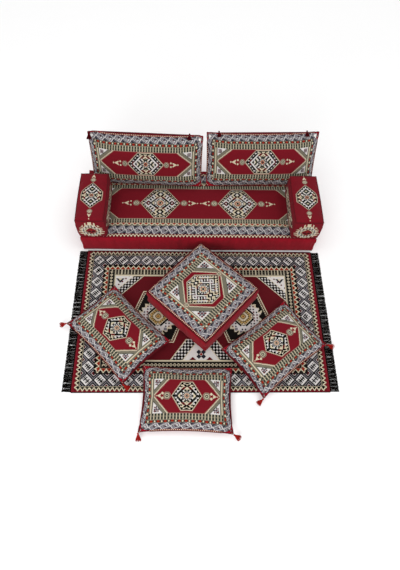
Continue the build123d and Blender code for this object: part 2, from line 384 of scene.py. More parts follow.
@dataclass
class SewnPad:
    """A cushion of two faces sewn in one seam, its corners drawn out into ears."""
    half_x: float
    half_y: float
    crown: float
    under: float
    draw: float
    fullness: float
    straight_foot: bool = False
    tuck: float = 0
    top_dip: float = 0

    def __post_init__(self):
        self.runs = [self.laid_out(way) for way in (Vector((1, 0, 0)), Vector((0, 1, 0)))]

    def laid_out(self, way):
        """How much of the front's cloth lies before each step from seam to seam, -1 to 1."""
        steps = np.linspace(-1, 1, RUN_STEPS)
        lengths = run_lengths([self.place(way * step + Vector((0, 0, 1))) for step in steps])
        return steps, 2 * lengths / lengths[-1] - 1

    def rise(self, share, kind):
        """Height over the seam, or depth under it, at a share of the way to the seam."""
        if kind == BASE:
            return -self.under * min(1.08 * (1 - share ** self.fullness) ** 0.75, 1)
        return self.crown * (1 - share ** 3) ** 0.75

    def place(self, unit):
        """Where a point of the unit pad lies on this cushion."""
        across, along = spread(unit.x), spread(unit.y)
        x = across * self.half_x - bowed(self.draw, across, along)
        y = along * self.half_y - bowed(self.draw, along, across)
        if self.straight_foot:
            dip = self.top_dip * (1 - across ** 16) * max(along, 0) ** 3
            y = along * self.half_y - dip
        share = (abs(across) ** CORNER_POWER + abs(along) ** CORNER_POWER) ** (1 / CORNER_POWER)
        kind = BASE if unit.z < 0 else TOP
        level = self.rise(min(share, 1), kind) if unit.z else 0
        flat = EAR * (1 - max(abs(across), abs(along)) ** 12)
        if unit.z:
            level = min(level, -flat) if kind == BASE else max(level, flat)
        seam = -self.tuck * max(along, 0) ** 6 * (1 - across ** 20)
        full = level / (-self.under if kind == BASE else self.crown)
        return Vector((x, y, level + seam * (1 - full)))

    def cloth(self, unit, centre, kind):
        """Where a face corner lies on its own panel of cloth, in metres."""
        return (float(np.interp(unit.x, *self.runs[0])) * self.half_x,
                float(np.interp(unit.y, *self.runs[1])) * self.half_y)


def run_lengths(points):
    """How far each point of a path lies from its start, along the path."""
    steps = np.linalg.norm(np.diff(np.array(points), axis=0), axis=1)
    return np.concatenate(([0], np.cumsum(steps)))


def shape_pad(pad, columns, rows, layers):
    """Gives the unit pad a cushion's form and cloth coordinates."""
    bm = unit_pad(columns, rows, layers)
    cloth = bm.loops.layers.uv.new("cloth")
    for face in bm.faces:
        centre = face.calc_center_median()
        for loop in face.loops:
            loop[cloth].uv = pad.cloth(loop.vert.co, centre, face.material_index)
    for vert in bm.verts:
        vert.co = pad.place(vert.co)
    return bm


# Meshes and pieces

def opened(mesh):
    """A bmesh of a mesh."""
    bm = bmesh.new()
    bm.from_mesh(mesh)
    return bm


def closed(bm, mesh):
    """Writes a bmesh into a mesh and lets it go."""
    bm.to_mesh(mesh)
    bm.free()
    return mesh


def linked(name, data):
    """Makes an object of its data and links it to the scene."""
    made = bpy.data.objects.new(name, data)
    bpy.context.scene.collection.objects.link(made)
    return made


def new_piece(name, bm, smooth=True):
    """Makes an object of the bmesh and links it to the scene."""
    mesh = closed(bm, bpy.data.meshes.new(name))
    if smooth:
        mesh.shade_smooth()
    return linked(name, mesh)


def points_of(mesh):
    """The mesh's points as rows of three."""
    flat = np.empty(len(mesh.vertices) * 3)
    mesh.vertices.foreach_get("co", flat)
    return flat.reshape(-1, 3)


def set_points(mesh, points):
    """Writes rows of three back as the mesh's points."""
    mesh.vertices.foreach_set("co", np.ascontiguousarray(points).ravel())
    mesh.update()


def keep_above(mesh, level):
    """Lifts what lies under a level up to it."""
    points = points_of(mesh)
    points[:, 2] = np.maximum(points[:, 2], level)
    set_points(mesh, points)


def add_copy(bm, template, moved):
    """Adds a copy of the template to a bmesh that nothing was deleted from, its points moved."""
    first = len(bm.verts)
    bm.from_mesh(template)
    bm.verts.ensure_lookup_table()
    for vert in bm.verts[first:]:
        vert.co = moved(vert.co)


def block(bm, size, place, bevel=0.0):
    """Adds a block, its edges rounded where a bevel is given."""
    verts = bmesh.ops.create_cube(bm, size=1.0)["verts"]
    bmesh.ops.scale(bm, verts=verts, vec=size)
    bmesh.ops.translate(bm, verts=verts, vec=place)
    if bevel:
        edges = list(dict.fromkeys(edge for vert in verts for edge in vert.link_edges))
        bmesh.ops.bevel(bm, geom=edges, offset=bevel, segments=1, profile=0.5,
                        affect="EDGES", material=-1)


def dress(piece, body, slot, looks, *nodes):
    """Gives a piece its materials and its body, and hides the nodes it stands for; the slot is
    not used.
    """
    for look in looks:
        piece.data.materials.append(material(look))
    if nodes:
        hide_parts(*nodes)
    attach(piece, body)


def local_box(node, pose):
    """The box of a CAD node in a cushion's own axes."""
    piece = bpy.data.objects[node]
    into = pose.inverted() @ piece.matrix_world
    spots = np.array([into @ vert.co for vert in piece.data.vertices])
    return Vector(spots.min(axis=0)), Vector(spots.max(axis=0))


def standing_pose(node):
    """The pose of a cushion that stands where a CAD node's box does."""
    low, high = (Vector(corner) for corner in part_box(node))
    return Matrix.Translation(((low.x + high.x) / 2, (low.y + high.y) / 2, low.z))


# Filling the covers

CLOTH_FRAMES = 20
FILL_GAP = 2.2
FIBRE_INSET = 0.012
FILLED_CLOTH = {
    "quality": 5, "mass": 0.3, "tension_stiffness": 15, "compression_stiffness": 15,
    "shear_stiffness": 5, "bending_stiffness": 0.6, "vertex_group_mass": "held",
    "shrink_min": -0.035, "use_pressure": True, "uniform_pressure_force": 4.0,
}


def kinds_at(part):
    """The kinds of face that meet at a point or an edge."""
    return {face.material_index for face in part.link_faces}


def plump(cover, puff, freedom):
    """Blows the cover up as cloth held at its seams, by no more than puff times the freedom."""
    before = points_of(cover.data)
    bm = opened(cover.data)
    held = cover.vertex_groups.new(name="held")
    held.add([vert.index for vert in bm.verts if len(kinds_at(vert)) > 1], 1.0, "REPLACE")
    bm.free()
    cloth = cover.modifiers.new("filling", "CLOTH")
    for name, value in FILLED_CLOTH.items():
        setattr(cloth.settings, name, value)
    cloth.settings.effector_weights.gravity = 0
    cloth.collision_settings.use_collision = False
    cloth.point_cache.frame_start = 1
    cloth.point_cache.frame_end = CLOTH_FRAMES
    scene = bpy.context.scene
    for step in range(1, CLOTH_FRAMES + 1):
        scene.frame_set(step)
    depsgraph = bpy.context.evaluated_depsgraph_get()
    moved = points_of(cover.evaluated_get(depsgraph).data) - before
    cover.modifiers.remove(cloth)
    cover.vertex_groups.remove(held)
    scene.frame_set(1)
    far = np.linalg.norm(moved, axis=1, keepdims=True) + 1e-9
    moved *= np.tanh(far / puff) * puff / far * freedom[:, None]
    set_points(cover.data, before + moved)


def one_kind(bm):
    """The bmesh with the marks of its panels taken off."""
    for face in bm.faces:
        face.material_index = 0
    return bm


def thicken(piece, wall):
    """Gives a sheet its thickness on the inner side."""
    thick = piece.modifiers.new("thickness", "SOLIDIFY")
    thick.thickness = wall
    thick.offset = -1


def finish_cloth(piece):
    """Smooths a cloth panel and gives it its thickness."""
    smooth = piece.modifiers.new("smooth", "SUBSURF")
    smooth.levels = smooth.render_levels = 1
    smooth.boundary_smooth = "ALL"
    thicken(piece, bpy.context.scene.majlis.trim.cloth)


def split_panel(cover, name, kind):
    """One panel of a cover as its own piece, with the cloth's thickness."""
    bm = opened(cover.data)
    others = [face for face in bm.faces if face.material_index != kind]
    bmesh.ops.delete(bm, geom=others, context="FACES")
    panel = new_piece(name, one_kind(bm))
    finish_cloth(panel)
    return panel


def keep_seam(mesh):
    """Keeps the seam where it is when the cloth is smoothed."""
    bm = opened(mesh)
    crease = bm.edges.layers.float.new("crease_edge")
    for edge in bm.edges:
        if len(kinds_at(edge)) > 1:
            edge[crease] = 1.0
    closed(bm, mesh)


def stuff(name, label, cover, pose, inward, look, slot, node):
    """Puts in a filling of the cover's form, drawn in and clear of the zip below."""
    clear = (local_box(f"{name}_zip_slider", pose)[1].z
             + bpy.context.scene.majlis.trim.clearance)
    bm = one_kind(opened(cover.data))
    for vert in bm.verts:
        spot = inward(vert)
        vert.co = (spot.x, spot.y, max(spot.z, clear))
    stuffing = new_piece(f"{name}_{label}", bm)
    stuffing.data.transform(pose)
    dress(stuffing, name, slot, [look], f"{name}_{node}")
    return stuffing


def open_slot(cover, low, high):
    """Cuts a slot for the zip into the faces of a cover's base."""
    bm = opened(cover.data)
    for axis in (0, 1):
        for level in (low[axis], high[axis]):
            spot, way = Vector(), Vector()
            spot[axis], way[axis] = level, 1
            parts = dict.fromkeys(part for face in bm.faces if face.material_index == BASE
                                  for part in (face, *face.edges, *face.verts))
            bmesh.ops.bisect_plane(bm, geom=list(parts), plane_co=spot, plane_no=way, dist=1e-6)
    inside = [face for face in bm.faces if face.material_index == BASE
              and low.x < face.calc_center_median().x < high.x
              and low.y < face.calc_center_median().y < high.y]
    bmesh.ops.delete(bm, geom=inside, context="FACES")
    closed(bm, cover.data)


# Piping and zips

PIPING_STEP = 0.006
PIPING_PUCKER = 0.05
TOOTH_PITCH = 0.0032
TOOTH_REACH = 0.0034
TOOTH_SHIFT = 0.0007
TEETH_ROOM = 0.0011
PULL_SIDES = 20


def seam_path(mesh, kinds, reach):
    """The seam between two kinds of panel as points in order, moved out by the reach."""
    bm = opened(mesh)
    bm.normal_update()
    left = {edge for edge in bm.edges if kinds_at(edge) == set(kinds)}
    vert = min(left, key=lambda edge: edge.index).verts[0]
    path = []
    while left:
        path.append(vert.co + vert.normal * reach)
        edge = next(edge for edge in vert.link_edges if edge in left)
        left.discard(edge)
        vert = edge.other_vert(vert)
    bm.free()
    return path


def even_path(points, step):
    """Points of a closed path at even steps along it."""
    ring = np.array([*points, points[0]])
    lengths = run_lengths(ring)
    stops = np.linspace(0, lengths[-1], max(int(lengths[-1] / step), 8), endpoint=False)
    return [Vector([np.interp(stop, lengths, ring[:, axis]) for axis in range(3)])
            for stop in stops]


def make_piping(name, cover, kinds, pose):
    """A cloth-covered cord round a seam, slightly puckered by its stitches."""
    trim = bpy.context.scene.majlis.trim
    path = even_path(seam_path(cover.data, kinds, trim.piping / 2 - trim.grip), PIPING_STEP)
    curve = bpy.data.curves.new(name, "CURVE")
    curve.dimensions = "3D"
    curve.bevel_depth = trim.piping / 2
    curve.bevel_resolution = 2
    spline = curve.splines.new("POLY")
    spline.points.add(len(path) - 1)
    for number, (point, spot) in enumerate(zip(spline.points, path)):
        point.co = (*(pose @ spot), 1)
        point.radius = 1 + PIPING_PUCKER * (number % 2)
    spline.use_cyclic_u = True
    cord = linked(name, curve)
    bpy.context.view_layer.update()
    mesh = bpy.data.meshes.new_from_object(cord)
    bpy.data.objects.remove(cord)
    mesh.name = f"{name}_welt"
    mesh.materials.clear()
    mesh.shade_smooth()
    dress(linked(mesh.name, mesh), name, "crimson_piping", ["piping_cloth"], f"{name}_piping")


def make_zip(name, pose):
    """The zip with its longer side along its own X: the chain and the slider."""
    low, high = local_box(f"{name}_zip_tape", pose)
    if high.y - low.y > high.x - low.x:
        pose = pose @ Matrix.Rotation(math.radians(90), 4, "Z")
    for node, build, label, body, slot, looks in (
            ("tape", zip_chain, "chain", name, "zip_tape", ["zip_cloth", "zip_teeth"]),
            ("slider", zip_slider, "pull", f"{name}_zip", "zip_metal", ["zip_nickel"])):
        bm = bmesh.new()
        build(bm, *local_box(f"{name}_zip_{node}", pose))
        bmesh.ops.transform(bm, matrix=pose, verts=bm.verts[:])
        piece = new_piece(f"{name}_zip_{label}", bm, smooth=False)
        dress(piece, body, slot, looks, f"{name}_zip_{node}")


def zip_chain(bm, low, high):
    """Two tapes with a row of teeth between them, marked as another material."""
    long, wide, deep = high - low
    middle = (low + high) / 2
    strip = 0.5 * wide - TEETH_ROOM
    strips, single = bmesh.new(), bmesh.new()
    for hand in (-1, 1):
        block(strips, (long, strip, 0.55 * deep),
              (middle.x, middle.y + hand * (0.5 * wide - strip / 2), high.z - 0.3 * deep),
              0.15 * deep)
    block(single, (0.5 * TOOTH_PITCH, TOOTH_REACH, 0.8 * deep), (0, 0, 0), 0.18 * TOOTH_PITCH)
    tapes = closed(strips, bpy.data.meshes.new("tapes"))
    tooth = closed(single, bpy.data.meshes.new("tooth"))
    bm.from_mesh(tapes)
    for number in range(int(long / TOOTH_PITCH) * 2 - 2):
        spot = Vector((low.x + (0.5 * number + 1) * TOOTH_PITCH,
                       middle.y + TOOTH_SHIFT * (-1 if number % 2 else 1), middle.z))
        add_copy(bm, tooth, lambda point: spot + point)
    for number, face in enumerate(bm.faces):
        face.material_index = int(number >= len(tapes.polygons))
    for mesh in (tapes, tooth):
        bpy.data.meshes.remove(mesh)


def zip_slider(bm, near, far):
    """A slider of two blocks, with a ring and a flat pull."""
    long, wide, deep = far - near
    head = 0.38 * long
    middle = (near + far) / 2
    level = far.z - 0.36 * deep
    block(bm, (head, wide, 0.42 * deep), (near.x + head / 2, middle.y, level), 0.12 * deep)
    block(bm, (0.7 * head, 0.3 * wide, 0.3 * deep),
          (near.x + 0.5 * head, middle.y, level - 0.3 * deep), 0.1 * deep)
    ring = bmesh.ops.create_circle(bm, segments=PULL_SIDES, radius=0.22 * wide)["verts"]
    bmesh.ops.scale(bm, verts=ring, vec=(1.2, 1, 1))
    wall = bmesh.ops.extrude_edge_only(bm, edges=[edge for edge in bm.edges if edge.is_wire])
    bmesh.ops.scale(bm, verts=made_parts(wall, bmesh.types.BMVert), vec=(1.7, 1.7, 1))
    flat = made_parts(wall, bmesh.types.BMFace)
    bmesh.ops.recalc_face_normals(bm, faces=flat)
    bmesh.ops.solidify(bm, geom=flat, thickness=0.16 * deep)
    pull = [vert for vert in bm.verts if vert.co.length < 0.6 * wide]
    bmesh.ops.translate(bm, verts=pull, vec=(near.x + 0.62 * long, middle.y, near.z + 0.3 * deep))
    block(bm, (0.28 * long, 0.62 * wide, 0.18 * deep),
          (far.x - 0.15 * long, middle.y, near.z + 0.3 * deep), 0.06 * deep)


# Strands of the tassels and the fringe

THREAD = 0.0011
THREAD_TURN = 2.39996
SIDEWAYS = Vector((0.31, 0.17, 0.93))


def strand_template():
    """A thin closed strand along Z from 0 to 1, of unit radius."""
    bm = bmesh.new()
    bmesh.ops.create_cone(bm, cap_ends=True, cap_tris=False, segments=4, radius1=1.0,
                          radius2=1.0, depth=1.0, matrix=Matrix.Translation((0, 0, 0.5)))
    upright = [edge for edge in bm.edges if abs(edge.verts[0].co.z - edge.verts[1].co.z) > 0.5]
    bmesh.ops.subdivide_edges(bm, edges=upright, cuts=6, use_grid_fill=True)
    return closed(bm, bpy.data.meshes.new("strand"))


def lay_strands(bm, paths):
    """Adds a strand along each path, a function of the share of its length."""
    template = strand_template()
    for path, radius in paths:
        def moved(point, path=path, radius=radius):
            spot = path(point.z)
            ahead = path(point.z + 0.01) - spot
            side = ahead.cross(SIDEWAYS).normalized()
            up = side.cross(ahead).normalized()
            return spot + (side * point.x + up * point.y) * radius(point.z)

        add_copy(bm, template, moved)
    bpy.data.meshes.remove(template)


def ringed(radius, turn, level):
    """A point on a ring about Z."""
    return Vector((radius * math.cos(turn), radius * math.sin(turn), level))


def tassel_mesh(bm, pose, seed):
    """Adds a tassel that hangs along -Z from the pose's origin: cord, head, neck and skirt."""
    trim = bpy.context.scene.majlis.trim
    luck = random.Random(seed)
    fresh = bmesh.new()
    neck_level = trim.loop + 2 * trim.head
    paths = [(lambda share: Vector((0, 0, -share * (trim.loop + trim.cord))),
              lambda share: trim.cord)]
    for wrap in range(3):
        level = -neck_level - (wrap - 1) * 1.6 * trim.cord
        paths += [(lambda share, level=level, half=half:
                   ringed(trim.neck + 0.4 * trim.cord, math.pi * (share + half), level),
                   lambda share: 0.7 * trim.cord) for half in (0, 1)]
    for number in range(trim.threads):
        turn = number * THREAD_TURN + luck.uniform(-0.1, 0.1)
        deep = math.sqrt((number + 0.5) / trim.threads)
        sway = luck.uniform(-0.25, 0.25)
        cut = luck.uniform(0.88, 1.0)

        def hang(share, turn=turn, deep=deep, sway=sway, cut=cut):
            flare = 0.8 * trim.neck + (trim.skirt - 0.8 * trim.neck) * share ** 0.8
            return ringed(flare * deep, turn + sway * math.sin(share * 5),
                          -neck_level - share * trim.drop * cut)

        paths.append((hang, lambda share: THREAD * (1 - 0.3 * share)))
    lay_strands(fresh, paths)
    head = bmesh.ops.create_uvsphere(
        fresh, u_segments=24, v_segments=12, radius=trim.head,
        matrix=Matrix.Translation((0, 0, -trim.loop - trim.head)))["verts"]
    for vert in head:
        vert.co.xy *= 1 + 0.05 * math.cos(math.atan2(vert.co.y, vert.co.x) * 12)
    bmesh.ops.transform(fresh, matrix=pose, verts=fresh.verts[:])
    mesh = closed(fresh, bpy.data.meshes.new("tassel"))
    bm.from_mesh(mesh)
    bpy.data.meshes.remove(mesh)


def hanging_pose(start, way):
    """The pose of something that hangs from start along way."""
    turn = Vector((0, 0, -1)).rotation_difference(way)
    return Matrix.Translation(start) @ turn.to_matrix().to_4x4()


# Weaving charts, worked out by nodes

YARNS = ("crimson", "wine", "cream", "gold", "olive", "green", "lilac", "pale", "black", "navy",
         "flame", "pink")
(CRIMSON, WINE, CREAM, GOLD, OLIVE, GREEN, LILAC, PALE, BLACK, NAVY, FLAME,
 PINK) = range(len(YARNS))


class Count:
    """A number worked out by the nodes of a tree, so that charts read as plain sums."""

    def __init__(self, tree, socket):
        self.tree, self.socket = tree, socket

    def fed(self, kind, parts, out=0, **settings):
        """What a node makes of numbers and counts fed into its sockets."""
        return Count(self.tree, Bench(self.tree).node(kind, parts, **settings).outputs[out])

    def made(self, operation, *parts):
        """The outcome of one math node."""
        return self.fed("ShaderNodeMath", dict(enumerate(parts)), operation=operation)

    def choose(self, yes, no):
        """One value where this mask is one, the other where it is nought."""
        return self.fed("ShaderNodeMix", {0: self, 2: no, 3: yes}, data_type="FLOAT")

    def speckle(self, other):
        """A fixed chance value from 0 to 1 for each pair of whole numbers."""
        spot = self.fed("ShaderNodeCombineXYZ", {0: self, 1: other})
        return self.fed("ShaderNodeTexWhiteNoise", {"Vector": spot}, "Value",
                        noise_dimensions="2D")

    def __rsub__(self, other): return self.made("SUBTRACT", other, self)
    def wrap(self, period): return self.made("WRAP", self, period / 2, -period / 2)
    def between(self, low, high): return self.near((low + high) / 2, (high - low) / 2)


def sum_method(operation):
    """A method of a count that works out one kind of sum."""
    return lambda self, *parts: self.made(operation, self, *parts)


for sign, operation in {
        "__add__": "ADD", "__radd__": "ADD", "__sub__": "SUBTRACT", "__mul__": "MULTIPLY",
        "__rmul__": "MULTIPLY", "__truediv__": "DIVIDE", "__abs__": "ABSOLUTE",
        "__lt__": "LESS_THAN", "__gt__": "GREATER_THAN", "__and__": "MULTIPLY",
        "__or__": "MAXIMUM", "least": "MINIMUM", "most": "MAXIMUM", "floor": "FLOOR",
        "fold": "PINGPONG", "near": "COMPARE"}.items():
    setattr(Count, sign, sum_method(operation))


class Chart:
    """A weaving chart: yarns laid over one another, each where its mask is one."""

    def __init__(self, u, v, ground):
        self.v, self.yarn = v, ground
        self.across, self.along = abs(u), abs(v)

    def lay(self, mask, *rows):
        """Lays yarns where the mask is one, each on its own or with a mask of its own."""
        for row in rows:
            yarn, own = row if isinstance(row, tuple) else (row, None)
            self.yarn = (mask if own is None else mask & own).choose(yarn, self.yarn)

    def over(self, value, *rows):
        """Lays each yarn where the value is over its level."""
        for yarn, level in rows:
            self.lay(value > level, yarn)

    def under(self, value, *rows):
        """Lays each yarn where the value is under its level."""
        for yarn, level in rows:
            self.lay(value < level, yarn)


def octagon(x, y, slant=0.72):
    """How far a point lies out, with eight sides to each ring."""
    return x.most(y).most((x + y) * slant)


def lattice(x, y, pitch):
    """How far a point lies from the nearest one of a lattice, along both axes together."""
    return abs(x.wrap(pitch)) + abs(y.wrap(pitch))


def ladder(chart, band, along, across, half):
    """Thin cream bars and dark waisted rungs in an olive band."""
    step = abs((along + 0.5).wrap(6))
    rung = abs(abs(across) - 0.46 * half) < 0.32 * half
    chart.lay(band, OLIVE, (CREAM, step < 0.6), (GREEN, rung & (step > 1.6)))


def blocks(chart, band, along, across, pitch=13):
    """Small red blocks with cream beads between them, in a dark row."""
    step, high = abs(along.wrap(pitch)), abs(across)
    chart.lay(band, GREEN, (OLIVE, high > 2), (CREAM, (abs(step - pitch / 2) + high) < 2.4),
              (WINE, (step < 2.8) & (high < 2)), (FLAME, (step < 1.6) & (high < 2)))


def scroll(chart, band, along, across, half, pitch=20):
    """Leaning leaves with white outlines, joined by white crossings, on a lilac ground."""
    step = along.wrap(pitch)
    lean = abs(step + across * (0.24 * pitch / half))
    ring = lean * (2 / pitch) + abs(across) * (0.86 / half)
    chart.lay(band, LILAC, (NAVY, ring > 1.5), (NAVY, ring.near(1.16, 0.1)),
              (PALE, ring.near(0.93, 0.07)),
              (((step * across) > 0).choose(NAVY, LILAC), ring < 0.68),
              (PALE, ring.near(0.4, 0.08) & (across < 0)), (WINE, ring < 0.16))


def zigzag(chart, band, along, across, pitch, yarn, ground, thick=1.3, steep=0.8):
    """A zigzag line in a band, and the side of it that a point lies on."""
    over = across - (along.fold(pitch / 2) * steep - 0.25 * steep * pitch)
    chart.lay(band, ground, (yarn, abs(over) < thick))
    return over


def hexagon_depth(x, y, long, tall, flat):
    """How deep a point lies inside a hexagon with its points along x."""
    lean = math.atan2(tall, long - flat)
    return (tall - y).least((long - x) * math.sin(lean) - y * math.cos(lean))


def medallion(chart, x, y, long, tall, flat, leaf=1.0):
    """A black hexagon filled by a toothed cloud of chips round a dark eye."""
    depth = hexagon_depth(x, y, long, tall, flat)
    chart.over(depth, (PINK, 0), (CREAM, 0.8), (BLACK, 1.8))
    cloud = octagon(x * (tall / long), y, 0.7)
    inside = (depth - abs((x - y).wrap(10 * leaf)) * 0.9) > (1.4 + 1.6 * leaf)
    wide = 6.4 * leaf
    shade = (x / wide).floor().speckle((y / wide).floor())
    chart.lay(inside, (shade < 0.55).choose(CREAM, PALE))
    turn = abs((cloud / wide).floor().wrap(2)) > 0.5
    chip = turn.choose(x - y, x + y).wrap(1.6 * wide) > (-0.1 * wide)
    chart.lay(inside & chip & (depth > (2 + 4 * leaf)), BLACK, (GREEN, shade < 0.2),
              (WINE, shade.near(0.5, 0.06)), (LILAC, shade.near(0.75, 0.05)))
    eye = tall / 44
    ring = octagon(x, y)
    chart.lay(ring < 14 * eye, BLACK)
    chart.lay(ring < 13 * eye, (PALE, lattice(x + y, y - x, 7.4 * eye) > 3 * eye))
    chart.under(ring / eye, (BLACK, 9.6), (CREAM, 8.6), (FLAME, 6.6), (CREAM, 4.2), (BLACK, 3))


def pendants(chart, x, y, rosette, radius, dots, apart, heart, size, tip):
    """The rosette, dots, heart and tip that hang from a medallion's point, where they are."""
    chart.under(octagon(abs(x - rosette), y) / radius, (PINK, 1.0), (OLIVE, 0.84),
                (CREAM, 0.6), (GREEN, 0.42), (CREAM, 0.2))
    if dots:
        chart.lay((abs(x - dots) + abs(y - apart)) < 2.6, CREAM)
    if heart:
        way = x - heart
        notch = (0.4 * size - y).most(0)
        chart.lay(y < (size - way) * 0.52, (CREAM, way > (notch - 0.75 * size)))
    if tip:
        chart.lay((abs(x - tip) + y) < 1.8, CREAM)


def floret(chart, x, y, size, mask):
    """A small dark flower with wine petals' ends on a pale ground, and spots beside it."""
    far, near = x.most(y), x + y
    petal_end = abs(x - 0.62 * size) + abs(y - 0.62 * size) < 0.42 * size
    chart.lay(mask, (BLACK, (lattice(x, y, 1.9 * size) < 0.45 * size) & (far > 1.2 * size)),
              (NAVY, (far < size) & (x.least(y) < 0.2 * size)), (WINE, petal_end),
              (LILAC, near < 0.62 * size), (WINE, near < 0.3 * size))


@dataclass
class Layout:
    """Where the parts of a cushion's chart lie, in stitches from its middle."""
    straight: float
    tip: float
    field: float
    rows: tuple
    ends: tuple
    wedge: float
    medallion: tuple
    pendants: tuple
    blunt: float = 0
    plain_ends: bool = False


BACK_LAYOUT = Layout(straight=70, tip=102, field=25, rows=(25, 36, 42, 58.5),
                     ends=(102, 110, 115, 126), wedge=7, medallion=(41, 25, 17, 0.95),
                     pendants=(46, 6, 56, 4, 64.5, 5.5, 71.6))
PILLOW_LAYOUT = Layout(straight=35.5, tip=64, field=31, rows=(31, 43, 49, 62.5),
                       ends=(64, 71.5, 77, 87.5), wedge=6.6, medallion=(30, 27.7, 11.5, 0.9),
                       pendants=(38, 7.5, 47, 4.5, 53.5, 4.4, 59), plain_ends=True)
POUF_LAYOUT = Layout(straight=15.6, tip=55, field=46, rows=(46, 59.5, 66, 81),
                     ends=(55, 60.5, 66, 81), wedge=10, medallion=(50, 38, 12.5, 0.82),
                     pendants=(52, 6.5, 0, 0, 0, 0, 0), blunt=8)


def cushion_chart(u, v, plan):
    """A cushion's kilim: a medallion on a crimson field inside ladders, blocks and scrolls."""
    chart = Chart(u, v, WINE)
    across, along = chart.across, chart.along
    field_row, ladder_row, block_row, scroll_row = plan.rows
    field_end, stripe_end, block_end, scroll_end = plan.ends

    def ring(end, row, far_end, far_row):
        """The run along a border and the way across it, from the middle of either side."""
        side = along < row
        return side, side.choose(v, u), side.choose(across - (end + far_end) / 2,
                                                    along - (row + far_row) / 2)

    side, run, over = ring(block_end, block_row, scroll_end, scroll_row)
    half = side.choose((scroll_end - block_end) / 2, (scroll_row - block_row) / 2)
    band = (across < scroll_end) & (along < scroll_row)
    scroll(chart, band, run, over / half * 6.5, 6.5)

    past_end, past_row = across - scroll_end, along - scroll_row
    at_end, bead = past_end > past_row, past_end.most(past_row)
    dots = abs(at_end.choose(v, u).wrap(4)) + abs(bead - 1.6)
    chart.lay((1 - band) & (bead < 3.4), CRIMSON, (CREAM, dots < 1.44))
    if plan.plain_ends:
        chart.lay(1 - band, (WINE, at_end))

    side, run, over = ring(stripe_end, ladder_row, block_end, block_row)
    blocks(chart, (across < block_end) & (along < block_row), run, over)
    chart.lay(along < ladder_row, (OLIVE, across < stripe_end),
              (CREAM, across.near((field_end + stripe_end) / 2, 0.9)))
    ladder(chart, (across < stripe_end) & along.between(field_row + 1.5, ladder_row), u,
           along - (field_row + ladder_row) / 2, (ladder_row - field_row) / 2)

    box = (across < field_end) & (along < field_row + 1.5)
    lean = math.atan(field_row / (plan.tip - plan.straight))
    slant = (plan.tip - across) * math.sin(lean) - along * math.cos(lean)
    chart.lay(box, PALE)
    petal = 0.17 * field_row
    floret(chart, abs(across - field_end + 1.4 * petal), abs(along - field_row + 1.2 * petal),
           petal, box)
    chart.lay(box, (GREEN, slant > -plan.wedge - 1), (OLIVE, slant > -plan.wedge),
              (CREAM, slant > -1.4),
              (GREEN, slant.near(-plan.wedge / 2 - 0.7, plan.wedge / 2 - 1.4)
               & (lattice(across, along, 3) < 0.9)))
    field = box & (slant > 0)
    if plan.blunt:
        field = field & ((along > plan.blunt) | (across < plan.tip - 2))
    chart.lay(field, PINK, (CRIMSON, (along < field_row) & (slant > 1.2)))
    medallion(chart, across, along, *plan.medallion)
    pendants(chart, across, along, *plan.pendants)
    return chart.yarn


def seat_chart(u, v):
    """The seat's kilim: two medallions on a long crimson field between woven borders."""
    chart = Chart(u, v + 4.3, CRIMSON)
    across, along = chart.across, chart.along
    slant = (233 - across - along) * 0.7071
    chart.lay(along < 46, PALE, (GREEN, slant > -12), (OLIVE, slant > -11),
              (CREAM, slant > -1.5), (PINK, slant > 0), (CRIMSON, (slant > 0) & (along < 44.4)))
    ladder(chart, along.between(46, 57.5), u, along - 51.7, 5.7)
    zigzag(chart, along.between(57.5, 66), u, along - 61, 13, CREAM, OLIVE)
    flame = abs((u + 6.5).wrap(13)) + (along - 57.5)
    chart.lay(along.between(57.5, 63), (FLAME, flame < 5))
    scroll(chart, along.between(66, 87), u, along - 76.5, 10.5)
    zigzag(chart, along.between(87, 94), u, along - 90.5, 8, CREAM, WINE, 1.2, 1.2)
    chart.lay(across > 252, CRIMSON)
    middle = abs(across - 92.6)
    medallion(chart, middle, along, 48, 44, 13.6)
    pendants(chart, middle, along, 56.5, 8, 69.5, 5.3, 79.5, 6.5, 88.5)
    return chart.yarn


def arm_chart(u, v):
    """The arm's kilim: an upright medallion with a rosette and a heart before and behind."""
    chart = Chart(u, v, CRIMSON)
    medallion(chart, chart.along, chart.across, 37, 25, 12)
    pendants(chart, chart.along, chart.across, 43.5, 6, 0, 0, 54, 5, 62)
    return chart.yarn


def wreath(chart, x, v):
    """A combed onion of leaves with a red heart, on an arm's end."""
    y = v + 2
    wide = x + (y - 4).most(0) * 0.7 + (-14 - y).most(0) * 0.6
    far = wide.most(abs(y) * 0.9).most((x + abs(y)) * 0.72)
    comb = (x > abs(y)).choose(y, x).wrap(7.5) > 0
    chip = ((x + y).wrap(13) * (x - y).wrap(13)) > 0
    chart.lay(far < 28, (CREAM, comb), (CREAM, far < 21.5), (BLACK, far.between(11, 19.5) & chip),
              (PALE, far.between(15, 18.5) & (chip < 0.5)))
    chart.lay((far + abs((x + y).wrap(9)) * 0.8) < 13, CRIMSON)
    chart.lay((abs(x - 4) + abs(y + 3)) < 3.4, BLACK)
    chart.lay((x + abs(y - 3)) < 4.4, FLAME)


def leaf_strip(chart, x, v):
    """A ragged run of leaves along an arm's side."""
    y = abs(v)
    ragged = (x - 46).most(0) + y + abs((x - v).wrap(8)) * 0.9
    cell = (x / 3.2).floor().speckle((y / 3.2).floor())
    chart.under(ragged, (PINK, 16.5), (OLIVE, 15))
    chart.lay(ragged < 13.5, (CREAM, cell < 0.45), (GREEN, cell > 0.72),
              (PINK, cell.near(0.55, 0.06)))
    chart.lay((abs(x.wrap(23)) + y) < 4.5, CRIMSON)


def arm_side_chart(u, v):
    """The arm's sides: an onion at either end and a strip of leaves along either side."""
    chart = Chart(u, v - 32, CRIMSON)
    wreath(chart, chart.across.least(abs(chart.across - 193.4)), chart.v)
    leaf_strip(chart, abs(chart.across - 96.7), chart.v)
    return chart.yarn


